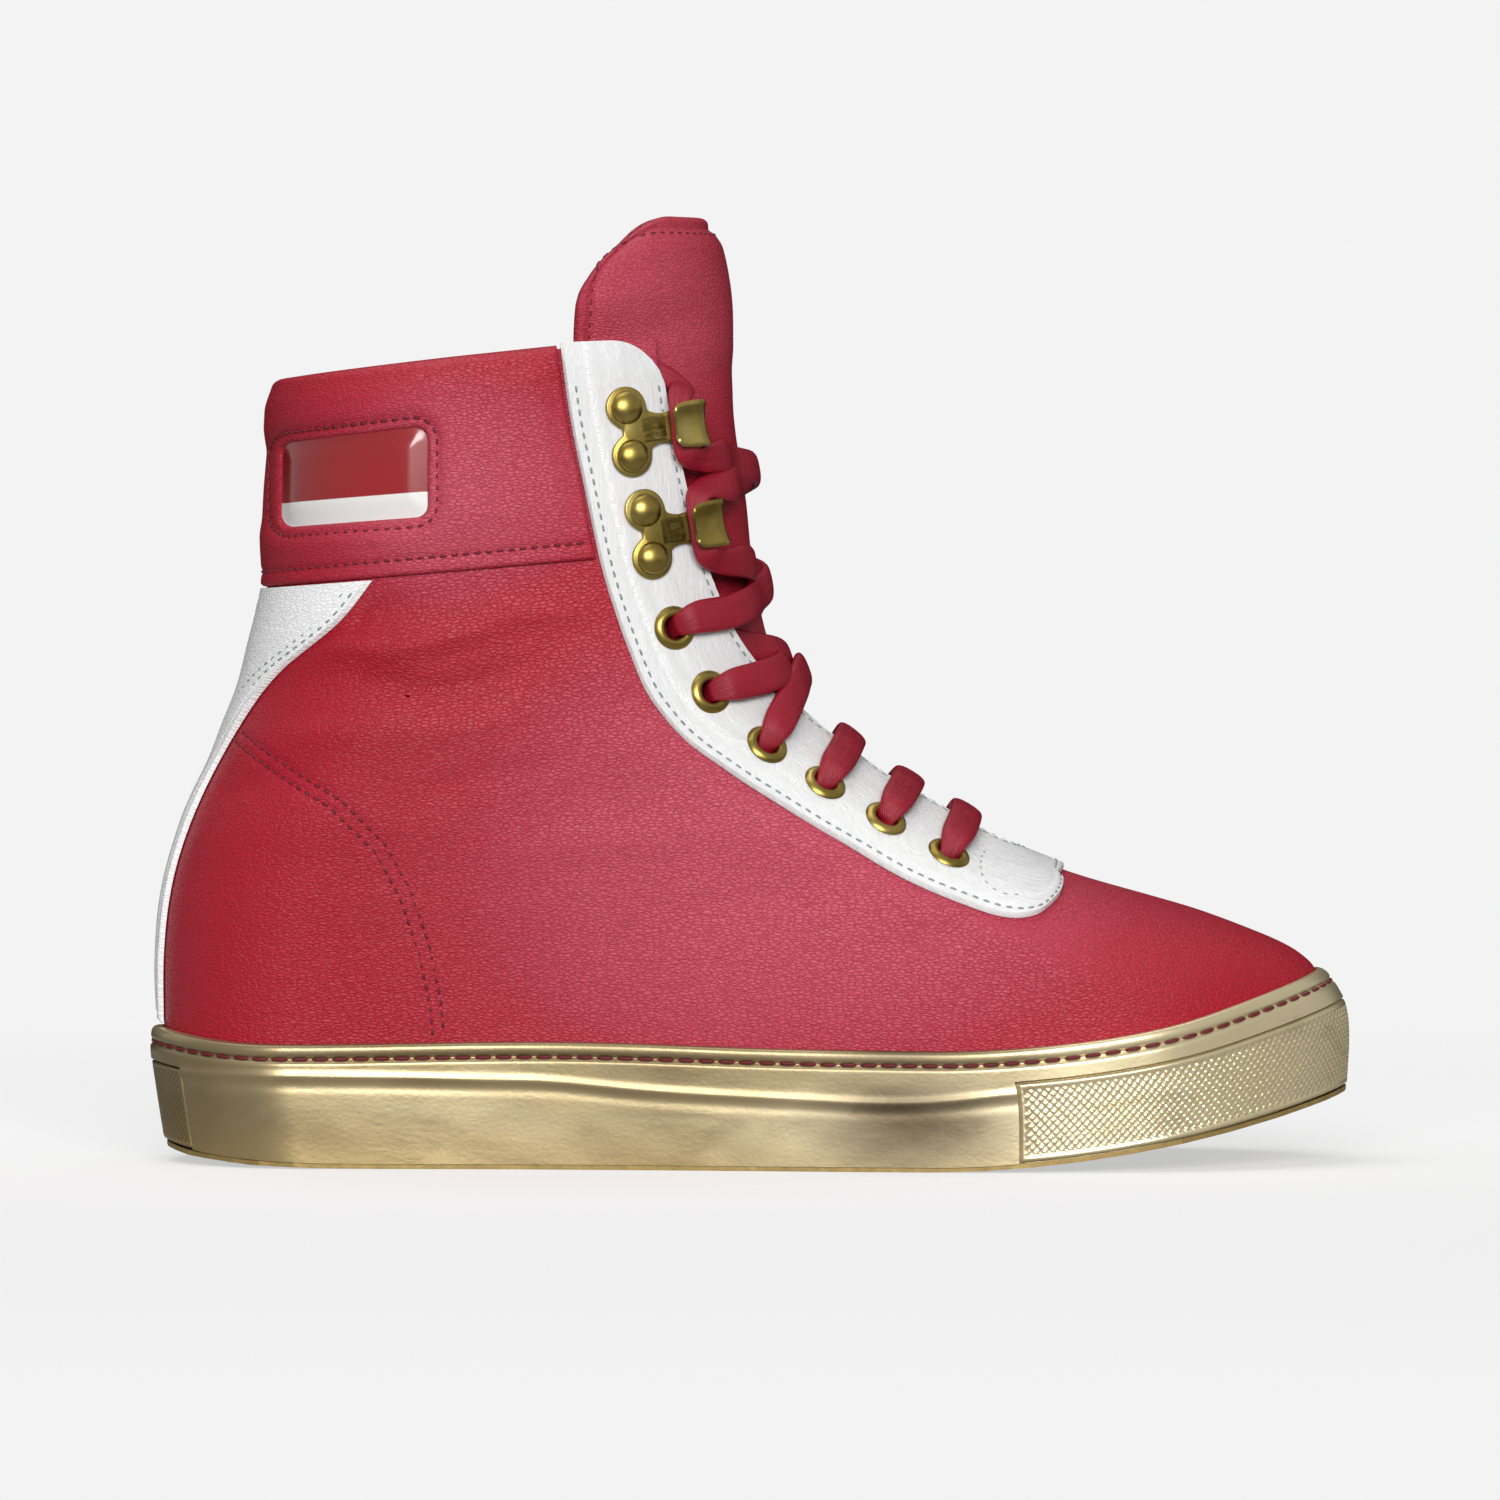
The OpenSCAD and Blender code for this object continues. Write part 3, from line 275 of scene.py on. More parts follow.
class Value:
    """A shader socket that takes arithmetic."""

    def __init__(self, finish, socket):
        self.finish, self.socket = finish, socket

    def math(self, operation, *terms):
        return self.finish.node("ShaderNodeMath", {"operation": operation}, dict(enumerate(terms)))

    def __add__(self, other):
        return self.math("ADD", self, other)

    def __sub__(self, other):
        return self.math("SUBTRACT", self, other)

    def __rsub__(self, other):
        return self.math("SUBTRACT", other, self)

    def __mul__(self, other):
        return self.math("MULTIPLY", self, other)

    def __pow__(self, other):
        return self.math("POWER", self, other)

    __radd__ = __add__
    __rmul__ = __mul__


class Finish:
    """A procedural material with short calls for its nodes."""

    def __init__(self, name, colour, roughness, **sockets):
        self.material = bpy.data.materials.new(name)
        self.material.use_nodes = True
        self.tree = self.material.node_tree
        self.shader = self.tree.nodes["Principled BSDF"]
        self.shader.inputs["Base Color"].default_value = (*colour, 1)
        self.shader.inputs["Roughness"].default_value = roughness
        for key, value in sockets.items():
            self.shader.inputs[key.replace("_", " ")].default_value = value

    def node(self, kind, settings=None, inputs=None, out=0):
        node = self.tree.nodes.new(kind)
        for key, value in (settings or {}).items():
            if key == "stops":
                ramp = node.color_ramp
                while len(ramp.elements) < len(value):
                    ramp.elements.new(0.5)
                for element, (place, colour) in zip(ramp.elements, value):
                    element.position = place
                    element.color = (*colour, 1) if hasattr(colour, "__len__") else (colour,) * 3 + (1,)
            else:
                setattr(node, key, value)
        for key, value in (inputs or {}).items():
            if isinstance(value, Value):
                self.tree.links.new(value.socket, node.inputs[key])
            else:
                node.inputs[key].default_value = value
        return Value(self, node.outputs[out])

    def place(self, kind="Object", scale=(1, 1, 1), turn=(0, 0, 0)):
        where = self.node("ShaderNodeTexCoord", out=kind)
        return self.node("ShaderNodeMapping", {}, {"Vector": where, "Scale": scale, "Rotation": turn})

    def noise(self, where, scale, detail=3.0, roughness=0.5, distortion=0.0):
        return self.node("ShaderNodeTexNoise", {}, {"Vector": where, "Scale": scale, "Detail": detail,
                                                    "Roughness": roughness, "Distortion": distortion})

    def cells(self, where, scale, feature="DISTANCE_TO_EDGE", randomness=1.0):
        return self.node("ShaderNodeTexVoronoi", {"feature": feature},
                         {"Vector": where, "Scale": scale, "Randomness": randomness})

    def ramp(self, value, stops):
        return self.node("ShaderNodeValToRGB", {"stops": stops}, {"Fac": value})

    def blend(self, factor, first, second, way="MIX"):
        return self.node("ShaderNodeMix", {"data_type": "RGBA", "blend_type": way},
                         {0: factor, 6: first, 7: second}, out=2)

    def feed(self, **values):
        for key, value in values.items():
            self.tree.links.new(value.socket, self.shader.inputs[key.replace("_", " ")])

    def bump(self, height, strength, distance=0.001, under=None):
        inputs = {"Height": height, "Strength": strength, "Distance": distance}
        if under is not None:
            inputs["Normal"] = under
        return self.node("ShaderNodeBump", {}, inputs)


def srgb(*levels):
    """Linear colour of one given as 0 to 255."""
    return tuple(c / 12.92 if c <= 0.04045 else ((c + 0.055) / 1.055) ** 2.4
                 for c in (v / 255 for v in levels))


def rgba(*levels):
    return (*srgb(*levels), 1.0)


def grained_leather(name, deep, mid, light, grain, shine, tint=0.5, gloss=0.5,
                    painted_sheen=False):
    """Milled leather: short level creases between small cells, fine pores, uneven dye, painted shade in the
    creases and, if asked, a painted sheen.
    """
    f = Finish(name, srgb(*mid), shine, Specular_IOR_Level=gloss)
    warp = f.noise(f.place("UV", (40, 60, 1)), 1.3, 3, 0.6)
    bent = f.node("ShaderNodeVectorMath", {"operation": "MULTIPLY_ADD"},
                  {0: f.place("UV", (56, 140, 1)), 1: (1, 1, 1), 2: f.blend(0.9, (0, 0, 0, 1), warp)})
    cell = f.ramp(f.cells(bent, 1.0), [(0.0, 0.0), (0.16, 0.75), (0.5, 1.0)])
    creases = f.noise(f.place("UV", (15, 64, 1)), 2.2, 4, 0.6, 0.9)
    fold = f.noise(f.place("UV", (6, 17, 1)), 2.2, 3, 0.55, 0.8)
    pores = f.noise(f.place("UV", (300, 300, 1)), 1.0, 2)
    dye = f.noise(f.place("Object"), 14, 4, 0.55)
    height = cell * 0.4 + creases * 0.45 + fold * 0.3 + pores * 0.1
    base_colour = f.blend(f.ramp(dye, [(0.3, 0), (0.7, 1)]), rgba(*mid), rgba(*light))
    # painted shade: the deep colour goes where the grain's surface is low, in the creases and between the
    # cells
    crease_shade = f.ramp(creases * 0.7 + cell * 0.3, [(0.36, 1), (0.62, 0)])
    if painted_sheen:
        # painted sheen: paler and pinker over the quarter, vamp, collar and tongue, where the front light's
        # sheen falls; heel, toe and edges keep the plain colour
        x, z = (f.node("ShaderNodeSeparateXYZ", {}, {0: f.place("Object")}, out=k) for k in (0, 2))
        low = ((x - 0.012) * 11.5) ** 2.0 + ((z - 0.078) * 16) ** 2.0
        high = ((x + 0.072) * 26) ** 2.0 + ((z - 0.168) * 34) ** 2.0
        tall = ((x + 0.024) * 44) ** 2.0 + ((z - 0.212) * 30) ** 2.0
        near = low.math("MINIMUM", low.math("MINIMUM", low, high), tall)
        pale = f.ramp(near * 0.42 + dye * 0.3, [(0.12, 1), (0.32, 0.68), (0.55, 0.22), (0.9, 0.0)])
        base_colour = f.blend(pale * 0.5, base_colour, rgba(212, 100, 124))
    f.feed(Base_Color=f.blend(crease_shade * tint, base_colour, rgba(*deep)),
           Roughness=creases * 0.2 + (shine - 0.1),
           Normal=f.bump(height, grain, 0.0007))
    return f.material


def twisted_thread(name, base_tone, hollow, crown, shine):
    """Plied thread: slanting bands, with painted shade darkening the hollows."""
    f = Finish(name, srgb(*base_tone), shine)
    twist = f.node("ShaderNodeTexWave", {"bands_direction": "DIAGONAL"},
                   {"Vector": f.place("Object"), "Scale": 900.0}, out=1)
    f.feed(Base_Color=f.blend(twist, rgba(*hollow), rgba(*crown)),
           Normal=f.bump(twist, 0.3, 0.0002))
    return f.material


def make_finishes():
    m = {}
    # red leather: painted shade in the creases and a painted sheen over the quarter, vamp, collar and tongue
    m["red"] = grained_leather("red_leather", (138, 2, 26), (164, 6, 34), (172, 10, 40), 0.62, 0.48,
                              0.42, 0.42, True)
    m["white"] = grained_leather("white_leather", (206, 206, 206), (242, 242, 242),
                                 (248, 248, 248), 0.5, 0.5, 0.4)

    f = Finish("gold_foil", srgb(180, 160, 110), 0.3, Metallic=0.7)
    at = f.place("Object")
    streak = f.noise(f.place("Object", (0.35, 1, 1.5)), 13, 4, 0.5, 0.2)
    scuff = f.noise(f.place("Object", (0.7, 1, 1.8)), 46, 5, 0.65, 0.5)
    crackle = f.cells(f.place("Object", (1, 1, 1.6)), 420)
    grains = f.noise(at, 900, 3, 0.6)
    x, z = (f.node("ShaderNodeSeparateXYZ", {}, {0: at}, out=k) for k in (0, 2))
    # rubbed dark patches in front of the arch and on the rim above it; a paler toe; a painted highlight along
    # the top lip, where light falls from above
    reach = ((x - 0.0400) * 29) ** 2.0 + ((z - 0.0120) * 50) ** 2.0
    rim_reach = ((x - 0.0380) * 34) ** 2.0 + ((z - 0.0320) * 120) ** 2.0
    dark = f.ramp(reach.math("MINIMUM", reach, rim_reach) + scuff * 0.35, [(0.18, 1), (0.5, 0.55), (1.0, 0)])
    toe = f.ramp(x * 12 + scuff * 0.1, [(0.82, 0), (1.0, 1)])
    warm = f.ramp(z * 40 + streak * 0.8, [(0.3, 1), (0.95, 0)])
    gold = f.ramp(streak, [(0.34, srgb(132, 116, 84)), (0.5, srgb(164, 148, 112)),
                           (0.66, srgb(198, 184, 150))])
    gold = f.blend(warm * 0.5, gold, rgba(176, 148, 92))
    # painted highlight: pale cream along the top lip, as lit from above
    lip = f.ramp(z * 18, [(0.55, 0), (0.62, 1)])
    gold = f.blend((toe * 0.7).math("MAXIMUM", toe * 0.7, lip * 0.6), gold, rgba(226, 212, 172))
    gold = f.blend(f.ramp(scuff, [(0.3, 1), (0.46, 0)]) * 0.25, gold, rgba(126, 104, 66))
    f.feed(Base_Color=f.blend(dark * 0.86, gold, rgba(58, 42, 22)),
           Roughness=scuff * 0.22 + dark * 0.12 + 0.22,
           Normal=f.bump(scuff * 0.35 + crackle * 0.12 + grains * 0.12 + streak * 0.2, 0.3, 0.0005))
    m["gold"] = f.material

    f = Finish("polished_brass", srgb(188, 160, 84), 0.17, Metallic=1.0)
    smear = f.noise(f.place("Object"), 180, 4, 0.6)
    tarnish = f.noise(f.place("Object"), 60, 4, 0.6)
    f.feed(Base_Color=f.ramp(tarnish, [(0.32, srgb(128, 108, 50)), (0.55, srgb(162, 142, 76)),
                                       (0.75, srgb(190, 174, 112))]),
           Roughness=smear * 0.16 + 0.26, Normal=f.bump(smear * 0.6 + tarnish, 0.14, 0.0004))
    m["brass"] = f.material

    f = Finish("red_lace", srgb(150, 12, 36), 0.42, Specular_IOR_Level=0.4)
    weave_a = f.node("ShaderNodeTexWave", {"wave_type": "BANDS", "bands_direction": "DIAGONAL"},
                     {"Vector": f.place("UV", (60, 60, 1)), "Scale": 1.5, "Distortion": 0.6}, out=1)
    weave_b = f.node("ShaderNodeTexWave", {"wave_type": "BANDS", "bands_direction": "DIAGONAL"},
                     {"Vector": f.place("UV", (-60, 60, 1)), "Scale": 1.5, "Distortion": 0.6}, out=1)
    weave = weave_a * weave_b
    shade = f.noise(f.place("Object"), 60, 3)
    crease = f.noise(f.place("UV", (60, 7, 1)), 1.2, 3, 0.5, 0.4)
    # painted shade: darker in the low parts of the weave and of the lengthwise folds; a noise adds random
    # tone
    f.feed(Base_Color=f.blend(weave * 0.25 + shade * 0.3 + crease * 0.4, rgba(118, 5, 26), rgba(172, 20, 48)),
           Normal=f.bump(weave * 0.35 + crease * 1.2, 0.5, 0.0006))
    m["lace"] = f.material

    m["thread"] = twisted_thread("red_thread", (112, 6, 24), (72, 2, 14), (122, 8, 30), 0.6)
    m["pale_thread"] = twisted_thread("grey_thread", (130, 142, 140), (96, 110, 108),
                                      (160, 170, 168), 0.65)

    f = Finish("red_lining", srgb(120, 20, 36), 0.7, Sheen_Weight=0.2)
    knit = f.cells(f.place("UV", (90, 90, 1)), 2.4, "F1", 0.3)
    f.feed(Base_Color=f.blend(knit, rgba(134, 24, 42), rgba(92, 12, 26)),
           Normal=f.bump(knit, 0.3, 0.0004))
    m["lining"] = f.material

    f = Finish("footbed_cloth", srgb(52, 46, 46), 0.85, Sheen_Weight=0.3)
    knit = f.cells(f.place("Object", (1, 1, 0.2)), 700, "F1", 0.2)
    f.feed(Base_Color=f.blend(knit, rgba(66, 58, 58), rgba(30, 27, 27)),
           Normal=f.bump(knit, 0.3, 0.0004))
    m["footbed"] = f.material

    f = Finish("label_gloss", srgb(150, 16, 20), 0.22, Coat_Weight=0.5, Coat_Roughness=0.1)
    at = f.node("ShaderNodeSeparateXYZ", {}, {0: f.place("UV")}, out=1)
    stripe = f.ramp(at, [(0.31, 1), (0.314, 0)])
    ripple = f.noise(f.place("Object"), 30, 2)
    f.feed(Base_Color=f.blend(stripe, f.blend(ripple, rgba(126, 8, 14), rgba(158, 18, 26)),
                              rgba(226, 224, 222)),
           Roughness=ripple * 0.2 + 0.12, Normal=f.bump(ripple, 0.1, 0.001))
    m["label"] = f.material

    f = Finish("board_and_foam", srgb(196, 176, 138), 0.85)
    fleck = f.noise(f.place("Object"), 400, 4)
    f.feed(Base_Color=f.blend(fleck, rgba(206, 188, 150), rgba(168, 146, 106)),
           Normal=f.bump(fleck, 0.3, 0.0005))
    m["core"] = f.material

    f = Finish("clear_tip", srgb(150, 20, 40), 0.25, Coat_Weight=0.6)
    f.feed(Roughness=f.noise(f.place("Object"), 300, 2) * 0.2 + 0.15)
    m["aglet"] = f.material

    f = Finish("tread_rubber", srgb(150, 124, 70), 0.5, Metallic=0.5)
    grit = f.noise(f.place("Object"), 300, 4)
    f.feed(Base_Color=f.blend(grit, rgba(120, 98, 54), rgba(176, 150, 92)),
           Normal=f.bump(grit, 0.3, 0.0005))
    m["tread"] = f.material
    return m


finish = make_finishes()
SLOT_FINISH = {"red_leather": "red", "white_leather": "white", "gold_sole": "tread", "brass": "brass",
               "red_lace": "lace", "red_thread": "thread", "lining": "lining", "foam": "core",
               "board": "core", "footbed": "footbed", "label": "label", "aglet": "aglet"}
for part in bpy.data.objects:
    for slot in part.material_slots:
        if slot.material and slot.material.name in SLOT_FINISH:
            slot.material = finish[SLOT_FINISH[slot.material.name]]


# ------------------------------------------------------------------ mesh makers

def add(name, vertices, faces, material, uv=None, angle=40, merge=0.0, recalc=False):
    """A mesh object in place, from points in mm."""
    mesh = bpy.data.meshes.new(name)
    mesh.from_pydata((np.asarray(vertices, float) * MM).tolist(), [],
                     [list(map(int, f)) for f in faces])
    if uv is not None:
        layer = mesh.uv_layers.new(name="UVMap")
        loops = np.empty(len(mesh.loops), int)
        mesh.loops.foreach_get("vertex_index", loops)
        layer.data.foreach_set("uv", (np.asarray(uv, float) * UV_SCALE)[loops].ravel())
    if merge or recalc:
        b = bmesh.new()
        b.from_mesh(mesh)
        if merge:
            bmesh.ops.remove_doubles(b, verts=b.verts, dist=merge * MM)
        if recalc:
            bmesh.ops.recalc_face_normals(b, faces=b.faces)
        b.to_mesh(mesh)
        b.free()
    mesh.polygons.foreach_set("use_smooth", [True] * len(mesh.polygons))
    mesh.set_sharp_from_angle(angle=math.radians(angle))
    mesh.materials.append(material)
    obj = bpy.data.objects.new(name, mesh)
    bpy.context.collection.objects.link(obj)
    return obj


def lengths(p):
    """Distance of each grid point along its row and along its column."""
    u = np.concatenate([np.zeros((p.shape[0], 1)),
                        np.cumsum(np.linalg.norm(np.diff(p, axis=1), axis=-1), 1)], 1)
    v = np.concatenate([np.zeros((1, p.shape[1])),
                        np.cumsum(np.linalg.norm(np.diff(p, axis=0), axis=-1), 0)], 0)
    return u, v


def shell(name, outer, inner, material, keep=None, closed=None, uv=None, angle=40, flip=False):
    """Closed sheet between two grids of points. keep marks the cells that exist, and closed
    the rows whose two ends meet."""
    rows, cols = outer.shape[:2]
    keep = np.ones((rows - 1, cols - 1), bool) if keep is None else keep
    closed = np.zeros(rows, bool) if closed is None else closed
    idx = np.arange(rows * cols).reshape(rows, cols)
    half = rows * cols
    a, b, c, d = idx[:-1, :-1], idx[:-1, 1:], idx[1:, 1:], idx[1:, :-1]
    quads = [np.stack([a[keep], d[keep], c[keep], b[keep]], -1)[:, ::-1],
             half + np.stack([a[keep], d[keep], c[keep], b[keep]], -1)]
    pad = np.zeros((rows + 1, cols + 1), bool)
    pad[1:-1, 1:-1] = keep
    seam = closed[:-1] & closed[1:]
    # walls along the rows' edges
    low = pad[1:, 1:-1] & ~pad[:-1, 1:-1]
    i, j = np.nonzero(low)
    quads.append(np.stack([idx[i, j + 1], idx[i, j], half + idx[i, j], half + idx[i, j + 1]], -1))
    top = pad[:-1, 1:-1] & ~pad[1:, 1:-1]
    i, j = np.nonzero(top)
    quads.append(np.stack([idx[i, j], idx[i, j + 1], half + idx[i, j + 1], half + idx[i, j]], -1))
    left = pad[1:-1, 1:] & ~pad[1:-1, :-1]
    left[:, 0] &= ~seam
    i, j = np.nonzero(left)
    quads.append(np.stack([idx[i, j], idx[i + 1, j], half + idx[i + 1, j], half + idx[i, j]], -1))
    right = pad[1:-1, :-1] & ~pad[1:-1, 1:]
    right[:, -1] &= ~seam
    i, j = np.nonzero(right)
    quads.append(np.stack([idx[i + 1, j], idx[i, j], half + idx[i, j], half + idx[i + 1, j]], -1))
    faces = np.concatenate(quads)
    if not flip:
        faces = faces[:, ::-1]
    points = np.concatenate([outer.reshape(-1, 3), inner.reshape(-1, 3)])
    if uv is None:
        u, v = lengths(outer)
        u = u - u[:, cols // 2][:, None]
        uv = np.stack([u, v], -1)
    uv = np.concatenate([uv.reshape(-1, 2)] * 2)
    used = np.unique(faces)
    remap = np.full(len(points), -1)
    remap[used] = np.arange(len(used))
    return add(name, points[used], remap[faces], material, uv[used], angle, merge=0.002)


def rounded(d, r):
    """Share of the full thickness at distance d from a rounded edge."""
    return np.sqrt(np.maximum(1 - (1 - np.clip(d / r, 0, 1)) ** 2, 0.0))


def settle(piece, slot_name, *nodes, body="boot"):
    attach(piece, body)
    if nodes:
        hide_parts(*nodes)
    return piece


# ------------------------------------------------------------------ leather pieces

EYELETS = [spot(x, z, TRIM_OUT) for x, z in
           [(-18.6, 133.5), (-9.65, 117.6), (4.2, 104.55), (18.55, 95.1), (33.5, 86.3),
            (49.05, 77.75)]]
HOOKS = [spot(x, z, TRIM_OUT) for x, z in [(-30.05, 181.6), (-25.3, 156.5)]]
HOOK_TILT = [7, 9]


def stand(place, side, h=0.0, tilt=0.0):
    """Matrix that turns +Z along the leather's outward normal and +Y up along the boot."""
    a = side * place[0]
    n = normal_at(a, place[1])
    up = unit(np.array([0, 0, 1]) - n[2] * n)
    m = Matrix.Identity(4)
    for col, v in enumerate([np.cross(up, n), up, n, skin(a, place[1], h) * MM]):
        for row in range(3):
            m[row][col] = v[row]
    return m @ Matrix.Rotation(math.radians(tilt), 4, "Z")


def hook_frame(k, side):
    m = stand(HOOKS[k], side, 0, -side * HOOK_TILT[k]) @ Matrix.Translation((0, 0, PLATE_Z * MM))
    return m @ Matrix.Rotation(math.pi if side > 0 else 0, 4, "Z")


def hole_spots():
    """Centres of the holes through leather and eyestay, with their radii."""
    out = []
    for side in (-1, 1):
        for p in EYELETS:
            out.append((skin(side * p[0], p[1]), 3.45))
        for k in (0, 1):
            for y in (-1, 1):
                m = hook_frame(k, side) @ Matrix.Translation((0, y * RIVET_PITCH / 2 * MM, -PLATE_Z * MM))
                out.append((np.array(m.translation) / MM, 1.6))
    return out


HOLES = hole_spots()


def pierce(p0, a, zn, keep):
    """Open the holes in a grid: cells inside a hole go, and the edge points move to its rim."""
    for centre, r in HOLES:
        d = np.linalg.norm(p0 - centre, axis=-1)
        if d.min() > 3 * r:
            continue
        inside = d < r * 0.97
        cell = inside[:-1, :-1] | inside[:-1, 1:] | inside[1:, 1:] | inside[1:, :-1]
        keep &= ~cell
        rim = np.zeros(d.shape, bool)
        rim[:-1, :-1] |= cell
        rim[:-1, 1:] |= cell
        rim[1:, 1:] |= cell
        rim[1:, :-1] |= cell
        rim &= ~inside
        share = r / np.maximum(d, 1e-6)
        where = np.argwhere(rim)
        for i, j in where:
            ci = np.unravel_index(np.argmin(d), d.shape)
            a[i, j] = a[ci] + (a[i, j] - a[ci]) * share[i, j]
            zn[i, j] = zn[ci] + (zn[i, j] - zn[ci]) * share[i, j]
    return keep


COUNTER = [(-126.25, 107.75), (-114.35, 99.1), (-100.75, 91), (-89.8, 80), (-83.5, 68.25),
           (-79, 54.6), (-76.25, 41), (-75.6, 34)]
COUNTER_INNER = [(x - 2.6, z - 1.8) for x, z in COUNTER]


def line_distance(x, z, points):
    """Distance in side view to a line through points."""
    best = np.full(np.shape(x), 1e9)
    for (x0, z0), (x1, z1) in zip(points, points[1:]):
        ex, ez = x1 - x0, z1 - z0
        h = np.clip(((x - x0) * ex + (z - z0) * ez) / (ex * ex + ez * ez), 0, 1)
        best = np.minimum(best, np.hypot(x - x0 - h * ex, z - z0 - h * ez))
    return best


def soft_folds(p, a, zn):
    """Low folds of worn leather, mostly at the ankle and along the vamp's break."""
    x, z = p[..., 0], p[..., 2]
    side = np.sign(a)
    d = np.zeros(x.shape)
    for cx, cz, rx, rz, tilt, h in [
            (-96, 137, 22, 4.2, 0.18, -0.9), (-92, 129, 26, 3.6, 0.10, 0.7),
            (-84, 119, 28, 5.0, -0.05, -0.9), (-100, 108, 20, 4.0, 0.25, 0.6),
            (-72, 131, 16, 3.2, 0.35, 0.55), (-60, 122, 15, 3.6, 0.45, -0.6),
            (-70, 109, 22, 4.6, 0.22, 0.6), (-56, 98, 20, 4.2, 0.3, -0.5),
            (-50, 137, 12, 3.0, 0.2, 0.5), (-116, 96, 14, 3.6, 0.5, -0.5),
            (-30, 80, 26, 5.0, 0.15, 0.35), (4, 66, 22, 5.5, 0.3, -0.4),
            (48, 58, 16, 4.0, 0.5, -0.4), (74, 60, 12, 3.4, 0.3, 0.35),
            (96, 44, 16, 3.6, -0.3, -0.3)]:
        cx1 = cx + 3.0 * side
        u = ((x - cx1) + tilt * (z - cz)) / rx
        v = ((z - cz) - tilt * (x - cx1) + 1.2 * np.sin((x - cx1) / 7.0)) / rz
        d = d + h * np.exp(-(u * u + v * v) * 1.1)
    waves = (0.16 * np.sin(z / 3.1 + 0.7 * np.sin(x / 13.0)) + 0.12 * np.sin(z / 5.3 - x / 21 + side))
    band = ease((zn - 52) / 30) * (1 - ease((zn - 138) / 8))
    counter = np.minimum(line_distance(x, z, COUNTER), line_distance(x, z, COUNTER_INNER))
    seam = -0.42 * np.exp(-(counter / 0.9) ** 2)
    return 1.8 * d * (1 - ease((zn - 139) / 5)) + waves * band + seam


def upper_offset(a, zn):
    """Height of the worn leather's face over the last's surface."""
    p = skin(a, zn)
    back = ease((backstay_front(zn) + 5 - p[..., 0]) / 5)
    low = ease((p[..., 2] - 33 - toe_lift(p[..., 0])) / 9)
    return soft_folds(p, a, zn) * low * (1 - back)


def make_upper():
    zn = np.concatenate([np.linspace(22, 76.5, 54), np.linspace(76.5, 141, 76)[1:],
                         np.linspace(141, COLLAR_Z, 36)[1:]])
    rows, cols = len(zn), 301
    edge = throat_a(zn)
    t = np.linspace(-1, 1, cols)
    # finer columns at the front, where the eyestay and its holes are
    t = np.sign(t) * (1 - (1 - np.abs(t)) ** 1.25) * 0.6 + t * 0.4
    a = edge[:, None] * t
    z2 = np.repeat(zn[:, None], cols, 1)
    p0 = skin(a, z2)
    keep = pierce(p0, a, z2, np.ones((rows - 1, cols - 1), bool))
    p0 = skin(a, z2)
    d = soft_folds(p0, a, z2)
    # flat and tight under the trim and where it meets the sole
    under_stay = ease((np.abs(a) - rear_a(z2, 4)) / np.maximum(1 - rear_a(z2, 4), 0.02) * 6)
    low = ease((p0[..., 2] - 33 - toe_lift(p0[..., 0])) / 9)
    d = d * (1 - under_stay) * low - 0.25 * ease((p0[..., 2] - 150) / 4)
    back = ease((backstay_front(z2) + 5 - p0[..., 0]) / 5)
    d = d * (1 - back)
    n = normal_at(a, z2)
    edge_d = np.minimum(edge[:, None] * (1 - np.abs(t)) * 300 + 50 * (z2 <= THROAT_Z), 9)
    soft = rounded(edge_d, 0.5) * rounded(COLLAR_Z + 0.3 - z2, 0.5)
    outer = p0 + (d - (1 - soft) * 0.5)[..., None] * n
    inner = p0 + (-LEATHER_T + (1 - soft) * 0.5)[..., None] * n
    u, v = lengths(p0)
    u -= u[:, cols // 2][:, None]
    v = np.repeat(zn[:, None], cols, 1)
    return settle(shell("upper_leather", outer, inner, finish["red"], keep, zn <= THROAT_Z,
                        np.stack([u, v], -1), 50), "red_leather", "upper")


STAY_ROWS = [(76.9, 77.3, 69.9), (77.6, 74.4, 65.2), (79, 69.4, 62.4), (81.5, 61.5, 62.4),
             (85.5, 49.4, 66.5), (90, 37, 72), (95, 24.85, 79.15), (101, 14, 85.5),
             (107, 4, 91.7), (112.5, -5, 97.6), (118, -13.75, 103.75), (124, -20.75, 110.75),
             (129, -25.65, 117.75), (134.5, -29.5, 126.8), (141, -33, 136.5), (148, -36.5, 148),
             (157, -39.2, 160), (167, -41.9, 173), (177, -44.6, 187), (194.5, -46.7, 203.6)]


